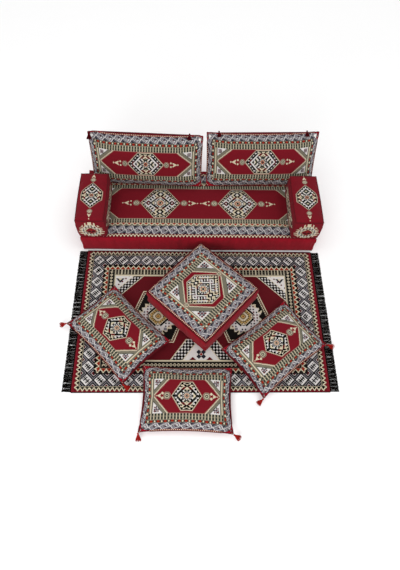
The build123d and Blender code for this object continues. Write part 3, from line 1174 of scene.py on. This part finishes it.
def checks(chart, mask, x, y):
    """Black and pale squares on their points, the black ones larger."""
    one, two = abs((x + y).wrap(48)), abs((x - y).wrap(48))
    pale = ((one < 9.84) & (two < 9.84)) | ((one > 14.16) & (two > 14.16))
    chart.lay(mask, pale.choose(PALE, BLACK))


def rug_medallion(chart, x, y):
    """A black hexagon with a pale cloud of spots round a gold flower, in millimetres."""
    depth = hexagon_depth(x, y, 200, 210, 120)
    chart.over(depth, (CREAM, -6), (WINE, 1), (BLACK, 6))
    chart.lay(depth.near(14, 4.5), (CREAM, abs((x - y).wrap(21)) < 6.5))
    cloud = octagon(x, y, 0.73) + abs((x - y).wrap(52)) * 0.9
    ragged = cloud + (21 - abs(x.wrap(42)).most(abs(y.wrap(42)))) * 0.9
    chart.lay(depth > 24, (CREAM, ragged < 156))
    spot = (x / 24).floor().speckle((y / 24).floor())
    dot = (lattice(x - 12, y - 12, 24) < 9) & (spot > 0.45)
    chart.lay((ragged < 146) & (depth > 30), LILAC, (PALE, spot > 0.3),
              ((spot > 0.7).choose(NAVY, WINE), dot))
    flower = octagon(x, y, 0.75) - abs((x + y).wrap(30)) * 0.7
    chart.under(flower, (BLACK, 74), (CREAM, 64), (GOLD, 55), (BLACK, 38), (CREAM, 31),
                (NAVY, 22), (GOLD, 12))
    chart.lay(flower.near(49, 7), (BLACK, abs((x - y).wrap(26)) < 3.5))
    chart.lay((x + y) < 8, FLAME)


def rug_diamonds(chart, band, p, q):
    """Pale diamonds outlined in black with combed hooks, and red ones between them."""
    ring, off = abs(p) + abs(q), abs(p - q)
    comb = ((p + q).wrap(22) > -2) & (off < 30)
    chart.lay(band, PALE, (BLACK, ring.near(49, 6.2)), (LILAC, ring.near(59.5, 4.4)),
              (BLACK, ring.near(70, 6.4)), (WINE, ring > 80))
    chart.lay(band & (ring < 38), (BLACK, comb | (off < 6)), (LILAC, comb & (off > 24)))


def rug_chart(u, v):
    """The rug, in millimetres: two hexagons on a dark field inside diamonds and flames."""
    chart = Chart(u, v, CRIMSON)
    x, y = chart.across * 3.5, chart.along * 3.5
    row, column = 590.0 - y, 917.0 - x
    is_row = row < column
    rim = row.least(column)
    run = is_row.choose(x, y)
    band = rim.between(7, 35)
    over = zigzag(chart, band, run, rim - 21, 32.7, CREAM, BLACK, 5.8, 1.4)
    chart.lay(band, (WINE, over < -9))
    chart.lay(rim > 35, BLACK, (CREAM, rim.near(39.5, 2.4) & (abs(run.wrap(10.5)) < 3)))
    step = is_row.choose((x - 829).wrap(97.5), (y - 502).wrap(100.4))
    rug_diamonds(chart, rim.between(44, 132), step, rim - 88)
    band = rim.between(137, 173)
    over = zigzag(chart, band, run, rim - 155, 42, CREAM, BLACK, 5.4, 1.3)
    chart.lay(band, (FLAME, over > 7.5))

    small = rim > 173
    cell = abs(run.wrap(28)) + abs(rim - 199)
    bar = abs(run.wrap(26))
    chart.lay(small, OLIVE, (BLACK, rim > 177), (CREAM, cell < 13.5), (BLACK, cell < 6.5))
    chart.lay(small & (v > 0) & is_row, OLIVE, (CREAM, bar > 11),
              (BLACK, bar.most(abs(abs(rim - 199) - 10)) < 7.5))
    chart.over(rim, (OLIVE, 221), (CREAM, 227), (WINE, 236))

    inner, corner = rim > 236, x + y
    chart.lay(inner, (CREAM, corner > 810))
    checks(chart, inner & (corner > 818), x, y)
    arrow = abs(x - 645) * 1.2 + (334 - y)
    chart.lay(inner, (CREAM, corner > 890), (PALE, corner > 898))
    chart.lay(inner & (corner > 898), (NAVY, (arrow < 44) & (y < 334)),
              (CREAM, (arrow < 22) & (y < 334)),
              (WINE, corner.near(930, 8) & (abs((x - y).wrap(54)) < 10)))
    side = x - y * 0.72 + 68.6
    fan = inner & (y > 188)
    chart.lay(fan, (CREAM, side < 46))
    checks(chart, fan & (side < 38), x, y)
    petal = abs(x - 18) + abs(abs(y - 308) - 18)
    chart.lay(fan, (CREAM, side < -46), (PALE, side < -54), (BLACK, petal < 20),
              (NAVY, petal < 14), (FLAME, (x + abs(y - 308)) < 11),
              (WINE, (side < -54) & ((abs(x - 62) - (y - 353)) < 26)))
    rug_medallion(chart, abs(x - 330), y)
    return chart.yarn


# Materials

COLUMN_NODES = 14
COLUMN_WIDTH = 190
ROW_HEIGHT = 180
RIB = 0.0011


class Bench:
    """Adds nodes to a tree and wires them together."""

    def __init__(self, tree):
        self.tree = tree

    def node(self, kind, inputs=(), **settings):
        """One node, with its settings and the constants, wires or counts of its inputs."""
        node = self.tree.nodes.new(kind)
        for name, value in settings.items():
            setattr(node, name, value)
        for name, value in dict(inputs).items():
            if isinstance(value, Count):
                value = value.socket
            if isinstance(value, bpy.types.NodeSocket):
                self.tree.links.new(value, node.inputs[name])
            else:
                node.inputs[name].default_value = value
        return node

    def parts(self, way):
        """The parts of a vector as counts."""
        split = self.node("ShaderNodeSeparateXYZ", {0: way})
        return [Count(self.tree, socket) for socket in split.outputs]

    def place(self):
        """The piece's own place in metres."""
        return self.node("ShaderNodeTexCoord").outputs["Object"]

    def cloth(self):
        """The place on the cloth's own panel, in stitches."""
        stitch = bpy.context.scene.majlis.trim.stitch
        u, v, _ = self.parts(self.node("ShaderNodeUVMap", uv_map="cloth").outputs[0])
        return u / stitch, v / stitch

    def noise(self, scale, detail=2.0, rough=0.5):
        """Soft noise from 0 to 1, of one scale or of one for each axis."""
        way = self.place()
        if isinstance(scale, tuple):
            way = self.node("ShaderNodeVectorMath", {0: way, 1: scale},
                            operation="MULTIPLY").outputs[0]
            scale = 1.0
        made = self.node("ShaderNodeTexNoise", {"Vector": way, "Scale": scale,
                                                "Detail": detail, "Roughness": rough})
        return Count(self.tree, made.outputs["Fac"])

    def pores(self, scale):
        """How far a place lies from the middle of its pore."""
        made = self.node("ShaderNodeTexVoronoi", {"Vector": self.place(), "Scale": scale})
        return Count(self.tree, made.outputs["Distance"])


def spread_nodes(tree):
    """Lays a tree's nodes out in columns, in the order they were made."""
    for number, node in enumerate(tree.nodes):
        column, row = divmod(number, COLUMN_NODES)
        node.location = (column * COLUMN_WIDTH, -row * ROW_HEIGHT)


def used_group(bench, name, build):
    """The outputs of a node group, which build makes once: a height and a shade, or a colour."""
    group = bpy.data.node_groups.get(name)
    if not group:
        group = bpy.data.node_groups.new(name, "ShaderNodeTree")
        made = build(Bench(group))
        ending = group.nodes.new("NodeGroupOutput")
        labels = ("Height", "Shade") if len(made) == 2 else ("Colour",)
        kind = "NodeSocketFloat" if len(made) == 2 else "NodeSocketColor"
        for number, (label, count) in enumerate(zip(labels, made)):
            group.interface.new_socket(label, in_out="OUTPUT", socket_type=kind)
            group.links.new(count.socket, ending.inputs[number])
        spread_nodes(group)
    return bench.node("ShaderNodeGroup", node_tree=group).outputs


def charted(chart, bench):
    """A panel's colour by its weaving chart."""
    colours = bpy.context.scene.majlis.yarns
    u, v = bench.cloth()
    yarn = chart(u.floor() + 0.5, v.floor() + 0.5)
    ramp = bench.node("ShaderNodeValToRGB", {0: (yarn + 0.5) / len(YARNS)})
    band = ramp.color_ramp
    band.interpolation = "CONSTANT"
    while len(band.elements) < len(YARNS):
        band.elements.new(1.0)
    for number, label in enumerate(YARNS):
        band.elements[number].position = number / len(YARNS)
        band.elements[number].color = (*getattr(colours, label), 1)
    return [Count(bench.tree, ramp.outputs[0])]


def weave(bench):
    """Rounded stitches in rows: their height and how light each one is, with painted shade in the
    grooves between stitches and the yarns' own tone varying at random.
    """
    u, v = bench.cloth()
    row = v.floor()
    across, along = ((row * 0.5).wrap(1) + u).wrap(1), v.wrap(1)
    bead = (1 - across * across * 3.2) * (1 - along * along * 2.4)
    abrash = bench.noise((3, 14, 14))
    # The bead term is painted shade, darker in the grooves between stitches; the speckle and
    # abrash terms are the yarns' own tone.
    return bead, bead * 0.2 + u.floor().speckle(row) * 0.12 + abrash * 0.2 + 0.66


def pile(bench):
    """Short velvet pile: brushed streaks, crushed patches and fine fibres, with broad upright
    bands of painted shade where soft folds would fall, and the low parts of streaks and fibres
    darkened as painted shade.
    """
    streaks, patches = bench.noise((170, 170, 14), 3), bench.noise(9.0, 4, 0.6)
    # The brushed noise, stretched upright, is painted shade of soft folds in the velvet.
    brushed, fibres = bench.noise((26, 26, 5), 3, 0.6), bench.noise(900.0, 1)
    # Streaks and fibres raise the pile and also darken its low parts, as painted shade.
    return (streaks * 0.4 + fibres * 0.6,
            streaks * 0.26 + patches * 0.34 + brushed * 0.6 + fibres * 0.16 + 0.32)


def twist(bench):
    """Twisted yarn: fine slanting strands with loose fibres, the low parts between strands
    darkened as painted shade.
    """
    strands, clumps = bench.noise((900, 900, 500)), bench.noise(120.0)
    # The strands term is painted shade between strands; the clumps term is the yarn's own tone.
    return strands, strands * 0.5 + clumps * 0.5 + 0.5


def rib(bench):
    """Ribbed tape or base cloth: a fine grid of threads with a little fluff, the gaps between
    threads darkened as painted shade.
    """
    ribs = [abs((part / RIB).wrap(1)) for part in bench.parts(bench.place())]
    height = 1 - ribs[0].most(ribs[1]).most(ribs[2])
    # The height term is painted shade in the gaps between threads; the noise term is the cloth's
    # own fluff.
    return height, height * 0.3 + bench.noise(400.0, 3) * 0.4 + 0.55


def foam(bench):
    """Open foam: small round pores of mixed sizes, darker inside as painted shade."""
    depth = bench.pores(260.0) * 1.4 + bench.pores(700.0) * 0.6
    # The depth term is painted shade inside the pores; the noise term is the foam's own mottling.
    return depth, depth * 0.25 + bench.noise(12.0) * 0.2 + 0.66


def floor(bench):
    """A pale studio floor with the faintest clouding."""
    clouds = bench.noise(1.5)
    return clouds, clouds * 0.02 + 0.98


def brushed(bench):
    """Metal with fine scratches."""
    scratches = bench.noise((2500, 300, 300))
    return scratches, scratches * 0.3 + 0.7


@dataclass
class Finish:
    """How a material's surface takes light."""
    rough: float
    bump: float
    depth: float
    sheen: float = 0.0
    metal: float = 0.0
    specular: float = 0.3


WOVEN = Finish(rough=0.92, bump=0.7, depth=0.0006, sheen=0.02, specular=0.12)
VELVET = Finish(rough=0.95, bump=0.5, depth=0.0005, sheen=0.05, specular=0.08)
YARN = Finish(rough=0.9, bump=0.7, depth=0.0004, specular=0.04)
TAPE = Finish(rough=0.88, bump=0.6, depth=0.0003, sheen=0.02, specular=0.15)
SOFT = Finish(rough=0.9, bump=0.8, depth=0.0008)
METAL = Finish(rough=0.32, bump=0.15, depth=0.0001, metal=1.0, specular=0.5)
PLASTIC = Finish(rough=0.4, bump=0.2, depth=0.0001, specular=0.5)
FLOOR = Finish(rough=0.7, bump=0.02, depth=0.0001, specular=0.2)

# Each material's chart or colour, its surface and its finish
LOOKS = {
    "kilim_seat": (seat_chart, weave, WOVEN),
    "kilim_arm_top": (arm_chart, weave, WOVEN),
    "kilim_arm_sides": (arm_side_chart, weave, WOVEN),
    "kilim_pouf": (partial(cushion_chart, plan=POUF_LAYOUT), weave, WOVEN),
    "kilim_back": (partial(cushion_chart, plan=BACK_LAYOUT), weave, WOVEN),
    "kilim_pillow": (partial(cushion_chart, plan=PILLOW_LAYOUT), weave, WOVEN),
    "kilim_rug": (rug_chart, weave, WOVEN),
    "crimson_velvet": ("velvet", pile, VELVET),
    "piping_cloth": ("piping", rib, TAPE),
    "zip_cloth": ("zip_tape", rib, TAPE),
    "zip_teeth": ("zip_tape", brushed, PLASTIC),
    "zip_nickel": ("nickel", brushed, METAL),
    "base_lining": ("lining", rib, TAPE),
    "cushion_foam": ("foam", foam, SOFT),
    "fibre_filling": ("fibre", twist, SOFT),
    "yarn_black": ("black", twist, YARN),
    "yarn_dark_tassel": ("dark_tassel", twist, YARN),
    "yarn_bright_tassel": ("bright_tassel", twist, YARN),
    "pale_floor": ("floor", floor, FLOOR),
}


def material(name):
    """A material of the table, made once: its colour shaded and raised by its surface."""
    made = bpy.data.materials.get(name)
    if made:
        return made
    colour, surface, finish = LOOKS[name]
    made = bpy.data.materials.new(name)
    made.use_nodes = True
    made.node_tree.nodes.clear()
    bench = Bench(made.node_tree)
    detail = used_group(bench, surface.__name__, surface)
    if isinstance(colour, str):
        colour = (*getattr(bpy.context.scene.majlis.yarns, colour), 1)
    else:
        colour = used_group(bench, name.replace("kilim", "chart"),
                            partial(charted, colour))["Colour"]
    shaded = bench.node("ShaderNodeMix", {0: 1.0, 6: colour, 7: detail["Shade"]},
                        data_type="RGBA", blend_type="MULTIPLY")
    bump = bench.node("ShaderNodeBump", {"Strength": finish.bump, "Distance": finish.depth,
                                         "Height": detail["Height"]})
    shader = bench.node("ShaderNodeBsdfPrincipled", {
        "Base Color": shaded.outputs[2], "Roughness": finish.rough, "Metallic": finish.metal,
        "Specular IOR Level": finish.specular, "Sheen Weight": finish.sheen,
        "Normal": bump.outputs[0]})
    bench.node("ShaderNodeOutputMaterial", {0: shader.outputs[0]})
    spread_nodes(made.node_tree)
    return made


# The room

CAMERA_LENS = 28.565
CAMERA_SENSOR = 36.0
CAMERA_PLACE = (-0.10341, -2.37881, 3.22629)
CAMERA_PITCH = 1.085
CAMERA_YAW = 0.0648
CAMERA_ROLL = -0.0623
FLOOR_SIZE = 30.0
FLOOR_DROP = 0.001
SKY_STRENGTH = 0.97
LIGHT_AIM = Vector((0, -0.5, 0))
# Each light's place, size and power
LIGHTS = {"window": ((-1.2, -4.6, 2.6), 2.2, 72), "ceiling": ((0.5, -1.0, 4.4), 3.0, 24)}


def camera_pose():
    """Where the camera stands and how it is turned, from its pitch, yaw and roll."""
    flat = Vector((math.sin(CAMERA_YAW), math.cos(CAMERA_YAW), 0))
    ahead = flat * math.cos(CAMERA_PITCH) - Vector((0, 0, math.sin(CAMERA_PITCH)))
    right = Vector((math.cos(CAMERA_YAW), -math.sin(CAMERA_YAW), 0))
    down = ahead.cross(right)
    across = right * math.cos(CAMERA_ROLL) + down * math.sin(CAMERA_ROLL)
    below = down * math.cos(CAMERA_ROLL) - right * math.sin(CAMERA_ROLL)
    turn = Matrix((across, -below, -ahead)).transposed().to_4x4()
    return Matrix.Translation(CAMERA_PLACE) @ turn


class MAJLIS_OT_stage(Operator):
    """Makes the pale floor, the soft lights and the camera"""
    bl_idname = "majlis.stage"
    bl_label = "Stage"

    def execute(self, context):
        bm = bmesh.new()
        bmesh.ops.create_grid(bm, x_segments=8, y_segments=8, size=FLOOR_SIZE)
        bmesh.ops.translate(bm, verts=bm.verts[:], vec=(0, 0, -FLOOR_DROP))
        ground = new_piece("floor", bm)
        ground.data.materials.append(material("pale_floor"))

        world = bpy.data.worlds.new("pale_room")
        context.scene.world = world
        world.use_nodes = True
        sky = world.node_tree.nodes["Background"]
        sky.inputs["Color"].default_value = (1, 1, 1, 1)
        sky.inputs["Strength"].default_value = SKY_STRENGTH

        for name, (place, size, power) in LIGHTS.items():
            lamp = bpy.data.lights.new(name, "AREA")
            lamp.size = size
            lamp.energy = power
            light = linked(name, lamp)
            light.location = place
            aim = LIGHT_AIM - light.location
            light.rotation_euler = aim.to_track_quat("-Z", "Y").to_euler()

        lens = bpy.data.cameras.new("camera")
        lens.lens = CAMERA_LENS
        lens.sensor_width = CAMERA_SENSOR
        camera = linked("camera", lens)
        camera.matrix_world = camera_pose()
        context.scene.camera = camera
        context.scene.view_settings.view_transform = "Standard"
        return {"FINISHED"}


# The pieces

GROUND_BLEND = 0.03
SEAT_BASE_EDGE = 0.01
TASSEL_HANDS = (-1, 1)


def make_boxed(name, sizes, cells, pose, freedom_of, panels, piped=True, settle=None):
    """A boxed cushion: its cover plumped, piped, cut open for its zip and parted into panels."""
    trim = bpy.context.scene.majlis.trim
    pad = BoxedPad(sizes.width / 2, sizes.depth / 2, sizes.height, sizes.ease, sizes.belly,
                   sizes.corner, sizes.crown)
    cover = new_piece(f"{name}_whole", shape_pad(pad, *cells))
    plump(cover, sizes.puff, np.array([freedom_of(*point) for point in points_of(cover.data)]))
    keep_above(cover.data, 0)
    if settle:
        settle(cover.data)
    if piped:
        make_piping(name, cover, (TOP, SIDE), pose)
    stuff(name, "foam", cover, pose, lambda vert: vert.co - vert.normal * FILL_GAP * trim.cloth,
          "cushion_foam", "foam", "core")
    open_slot(cover, *local_box(f"{name}_zip_tape", pose))
    cover.data.transform(pose)
    for kind, (label, slot, look, *nodes) in enumerate(panels):
        panel = split_panel(cover, f"{name}_{label}", kind)
        dress(panel, name, slot, [look], *(f"{name}_{node}" for node in nodes))
    make_zip(name, pose)
    bpy.data.objects.remove(cover)


def keep_flat(low, high, blend):
    """A function that is 0 inside a box of x and y, and 1 further than blend away from it."""
    def free(x, y):
        away = math.hypot(max(low[0] - x, x - high[0], 0), max(low[1] - y, y - high[1], 0))
        return min(away / blend, 1)
    return free


def ground_hold(x, y, z):
    """Freedom of a cushion's point: none underneath, all of it a little way up."""
    return min(max(z / GROUND_BLEND, 0), 1)


class MAJLIS_OT_seat(Operator):
    """Makes the seat mattress with its patterned top, velvet sides and base cloth"""
    bl_idname = "majlis.seat"
    bl_label = "Seat mattress"

    def execute(self, context):
        sizes = context.scene.majlis.seat
        carried = [keep_flat(*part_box(f"{side}_arm_side_cover"), sizes.blend)
                   for side in ("left", "right")]
        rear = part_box("left_back_cover")[0][1] + sizes.blend / 2
        carried.append(keep_flat((-sizes.width, rear), (sizes.width, sizes.width), sizes.blend))
        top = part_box("seat_top_panel")[1][2]

        def freedom(x, y, z):
            if z < 0.5 * sizes.height:
                return ground_hold(x, y, z - SEAT_BASE_EDGE)
            if z < 0.97 * sizes.height:
                return 1
            return min(free(x, y) for free in carried)

        def settle(mesh):
            """Presses the top flat under what the seat carries."""
            points = points_of(mesh)
            for point in points:
                if point[2] > top:
                    point[2] = top + (point[2] - top) * min(free(*point[:2]) for free in carried)
            set_points(mesh, points)

        make_boxed("seat", sizes, (104, 40, 12), Matrix.Identity(4), freedom, (
            ("kilim_top", "kilim_cloth", "kilim_seat", "top_panel"),
            ("velvet_sides", "crimson_cloth", "crimson_velvet", "side_cover"),
            ("base", "base_cloth", "base_lining", "base_cloth")), piped=False, settle=settle)
        return {"FINISHED"}


class MAJLIS_OT_armrests(Operator):
    """Makes the two armrests on the ends of the seat"""
    bl_idname = "majlis.armrests"
    bl_label = "Armrests"

    def execute(self, context):
        for name in ("left_arm", "right_arm"):
            make_boxed(name, context.scene.majlis.arm, (20, 40, 18),
                       standing_pose(f"{name}_side_cover"), ground_hold, (
                           ("kilim_top", "kilim_cloth", "kilim_arm_top", "top_panel"),
                           ("sides", "crimson_cloth", "kilim_arm_sides", "side_cover"),
                           ("base", "crimson_cloth", "crimson_velvet")))
        return {"FINISHED"}


class MAJLIS_OT_pouf(Operator):
    """Makes the square pouf on the rug"""
    bl_idname = "majlis.pouf"
    bl_label = "Pouf"

    def execute(self, context):
        sizes = context.scene.majlis.pouf
        pose = standing_pose("pouf_side_cover") @ Matrix.Rotation(sizes.turn, 4, "Z")
        make_boxed("pouf", sizes, (48, 48, 12), pose, ground_hold, (
            ("kilim_top", "kilim_cloth", "kilim_pouf", "top_panel"),
            ("sides", "crimson_cloth", "crimson_velvet", "side_cover"),
            ("base", "crimson_cloth", "crimson_velvet")))
        return {"FINISHED"}


def make_sewn(name, pad, cells, pose, puff, floor_level, hangs, cloth, yarn):
    """A cushion of two faces: plumped cover, fibre, piping, tassels and zip."""
    trim = bpy.context.scene.majlis.trim
    cover = new_piece(f"{name}_ticking", shape_pad(pad, *cells))
    points = points_of(cover.data)
    plump(cover, puff, np.where(points[:, 2] < -0.8 * pad.under, 0.15, 1.0))
    keep_above(cover.data, -pad.under)

    inset = trim.piping + FIBRE_INSET

    def inward(vert):
        x, y, z = vert.co
        return Vector((x * (1 - inset / pad.half_x), y * (1 - inset / pad.half_y),
                       math.copysign(max(abs(z) - FILL_GAP * trim.cloth, 0), z)))

    stuffing = stuff(name, "stuffing", cover, pose, inward, "fibre_filling", "fibre_fill",
                     "fill")
    keep_above(stuffing.data, floor_level + 2 * trim.cloth)

    open_slot(cover, *local_box(f"{name}_zip_tape", pose))
    cover.data.transform(pose)
    keep_above(cover.data, floor_level)
    make_piping(name, cover, (TOP, BASE), Matrix.Identity(4))
    make_zip(name, pose)

    bm = bmesh.new()
    for number, (start, way) in enumerate(hangs):
        tassel_mesh(bm, hanging_pose(start, way), f"{name} {number}")
    dress(new_piece(f"{name}_yarn_tassels", bm), name, "tassel_yarn", [yarn], f"{name}_tassels")

    keep_seam(cover.data)
    for face in cover.data.polygons:
        face.material_index = int(face.material_index == BASE)
    finish_cloth(cover)
    dress(cover, name, "kilim_cloth", [cloth, "crimson_velvet"], f"{name}_cover")


class MAJLIS_OT_backs(Operator):
    """Makes the two back cushions leaning at the rear of the seat"""
    bl_idname = "majlis.backs"
    bl_label = "Back cushions"

    def execute(self, context):
        sizes, trim = context.scene.majlis.back, context.scene.majlis.trim
        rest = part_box("seat_top_panel")[1][2] + trim.lay
        pad = SewnPad(sizes.width / 2, sizes.depth / 2, sizes.crown, sizes.under, sizes.draw,
                      sizes.fullness, True, sizes.tuck, sizes.dip)
        for side, middle, lean, turned in zip(("left", "right"), sizes.middles, sizes.leans,
                                              sizes.turns):
            stem = Matrix.Rotation(turned, 3, "Z")
            foot = Vector((middle, sizes.foot, rest + trim.piping))
            across, rear = stem @ Vector((1, 0, 0)), stem @ Vector((0, 1, 0))
            facing = Vector((0, 0, math.sin(lean))) - rear * math.cos(lean)
            upward = Vector((0, 0, math.cos(lean))) + rear * math.sin(lean)
            turn = Matrix((across, upward, facing)).transposed().to_4x4()
            pose = Matrix.Translation(foot + upward * sizes.depth / 2) @ turn
            hangs = []
            for hand, inset in zip(TASSEL_HANDS, getattr(sizes, f"{side}_tassels")):
                seam = pad.place(Vector((hand * (1 - 2 * inset / sizes.width), 1, 0))).z
                start = pose @ Vector((hand * (sizes.width / 2 - inset), sizes.depth / 2,
                                       seam + trim.piping / 2 + trim.head))
                way = Vector((0, -math.cos(sizes.tassel_rise), math.sin(sizes.tassel_rise)))
                hangs.append((start, turn.to_3x3() @ way))
            make_sewn(f"{side}_back", pad, (72, 38, 0), pose, sizes.puff, rest, hangs,
                      "kilim_back", "yarn_dark_tassel")
        return {"FINISHED"}


class MAJLIS_OT_pillows(Operator):
    """Makes the three throw pillows lying on the rug"""
    bl_idname = "majlis.pillows"
    bl_label = "Throw pillows"

    def execute(self, context):
        sizes, trim = context.scene.majlis.pillow, context.scene.majlis.trim
        pad = SewnPad(sizes.width / 2, sizes.depth / 2, sizes.crown, sizes.under, sizes.draw,
                      sizes.fullness)
        rug_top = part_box("rug_mat")[1][2]
        for side in ("left", "right", "front"):
            turn = Matrix.Rotation(getattr(sizes, f"{side}_turn"), 4, "Z")
            pose = Matrix.Translation((*getattr(sizes, f"{side}_place"),
                                       rug_top + trim.lay + sizes.under)) @ turn
            hangs = []
            for hand, swing in zip(TASSEL_HANDS, getattr(sizes, f"{side}_swing")):
                out = Vector((hand, -1, 0)).normalized()
                reach = out * (trim.piping - trim.grip - trim.cord)
                start = pose @ (Vector((hand * sizes.width / 2, -sizes.depth / 2, 0)) + reach)
                out.rotate(Matrix.Rotation(swing, 3, "Z"))
                way = (out * math.cos(sizes.tassel_droop)
                       - Vector((0, 0, math.sin(sizes.tassel_droop))))
                hangs.append((start, turn.to_3x3() @ way))
            make_sewn(f"{side}_pillow", pad, (56, 42, 0), pose, sizes.puff,
                      rug_top + trim.lay / 2, hangs, "kilim_pillow", "yarn_bright_tassel")
        return {"FINISHED"}


FRINGE_SEED = 7
YARNS_IN_KNOT = 10
YARN_TURN = 0.785


class MAJLIS_OT_rug(Operator):
    """Makes the rug with its bound and fringed edges"""
    bl_idname = "majlis.rug"
    bl_label = "Rug"

    def execute(self, context):
        sizes = context.scene.majlis.rug
        low, high = (Vector(corner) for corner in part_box("rug_mat"))
        middle = (low + high) / 2
        bm = bmesh.new()
        cloth = bm.loops.layers.uv.new("cloth")
        bmesh.ops.create_grid(bm, x_segments=150, y_segments=94, size=0.5)
        bmesh.ops.scale(bm, verts=bm.verts[:], vec=(sizes.width, sizes.depth, 1))
        for face in bm.faces:
            for loop in face.loops:
                loop[cloth].uv = loop.vert.co.xy
        bmesh.ops.translate(bm, verts=bm.verts[:], vec=(middle.x, middle.y, high.z))
        mat = new_piece("rug_weave", bm)
        thicken(mat, sizes.thick)
        dress(mat, "rug", "rug_kilim", ["kilim_rug"], "rug_mat")

        bm = bmesh.new()
        for end in (-1, 1):
            block(bm, (sizes.width, sizes.binding, sizes.thick),
                  (middle.x, middle.y + end * (sizes.depth + sizes.binding) / 2,
                   sizes.thick / 2))
        edges = [edge for edge in bm.edges
                 if abs(edge.verts[0].co.x - edge.verts[1].co.x) > 0.5 * sizes.width]
        bmesh.ops.bevel(bm, geom=edges, offset=0.35 * sizes.binding, segments=3, profile=0.5,
                        affect="EDGES", material=-1)
        binding = new_piece("rug_bound_edges", bm)
        dress(binding, "rug", "black_binding", ["yarn_black"], "rug_binding")

        fringes = [self.fringe(sizes, side, end, middle)
                   for side, end in (("left", -1), ("right", 1))]
        return {"FINISHED"}

    def fringe(self, sizes, side, end, middle):
        """Twisted yarns knotted into the end of the rug, lying on the floor."""
        luck = random.Random(FRINGE_SEED + end)
        edge = middle.x + end * sizes.width / 2
        pitch = sizes.depth / sizes.knots
        thin = 0.46 * sizes.fringe_thick
        paths = []
        for knot in range(sizes.knots):
            start = middle.y - sizes.depth / 2 + (knot + 0.5) * pitch
            lean = luck.uniform(-0.1, 0.1)
            for yarn in range(YARNS_IN_KNOT):
                reach = (sizes.fringe - 0.6 * sizes.header) * luck.uniform(0.9, 1.0)
                phase = YARN_TURN * yarn + luck.uniform(-0.3, 0.3)
                drift = luck.uniform(-0.8, 0.8) * pitch

                def lie(share, start=start, lean=lean, reach=reach, phase=phase, drift=drift):
                    turn = phase + 9 * share
                    wide = (0.4 + 0.1 * share) * pitch
                    return Vector((
                        edge + end * (0.6 * sizes.header + reach * share),
                        start + lean * reach * share + wide * math.cos(turn)
                        + drift * share ** 3,
                        sizes.fringe_thick / 2 + 0.1 * thin * math.sin(turn)))

                paths.append((lie, lambda share: thin))
        bm = bmesh.new()
        lay_strands(bm, paths)
        block(bm, (sizes.header, sizes.depth, sizes.fringe_thick),
              (edge + end * sizes.header / 2, middle.y, sizes.fringe_thick / 2))
        for vert in bm.verts:
            vert.co.y = min(max(vert.co.y, middle.y - sizes.depth / 2),
                            middle.y + sizes.depth / 2)
        fringe = new_piece(f"rug_yarn_fringe_{side}", bm)
        dress(fringe, "rug", "black_fringe", ["yarn_black"], f"rug_fringe_{side}")
        return fringe


OPERATORS = (MAJLIS_OT_stage, MAJLIS_OT_rug, MAJLIS_OT_seat, MAJLIS_OT_armrests,
             MAJLIS_OT_backs, MAJLIS_OT_pouf, MAJLIS_OT_pillows)


class MAJLIS_PT_panel(Panel):
    """Lists the steps that dress the set"""
    bl_idname = "MAJLIS_PT_panel"
    bl_label = "Majlis floor sofa"
    bl_space_type = "VIEW_3D"
    bl_region_type = "UI"
    bl_category = "Majlis"

    def draw(self, context):
        for operator in OPERATORS:
            self.layout.operator(operator.bl_idname)


CLASSES = (MajlisYarns, MajlisSeat, MajlisArm, MajlisPouf, MajlisBack, MajlisPillow, MajlisRug,
           MajlisTrim, MajlisSet, *OPERATORS, MAJLIS_PT_panel)


def register():
    for item in CLASSES:
        bpy.utils.register_class(item)
    bpy.types.Scene.majlis = PointerProperty(type=MajlisSet)


def unregister():
    del bpy.types.Scene.majlis
    for item in reversed(CLASSES):
        bpy.utils.unregister_class(item)


def main():
    """Dresses the whole set."""
    register()
    for operator in OPERATORS:
        family, name = operator.bl_idname.split(".")
        getattr(getattr(bpy.ops, family), name)()


if __name__ == "__main__":
    main()
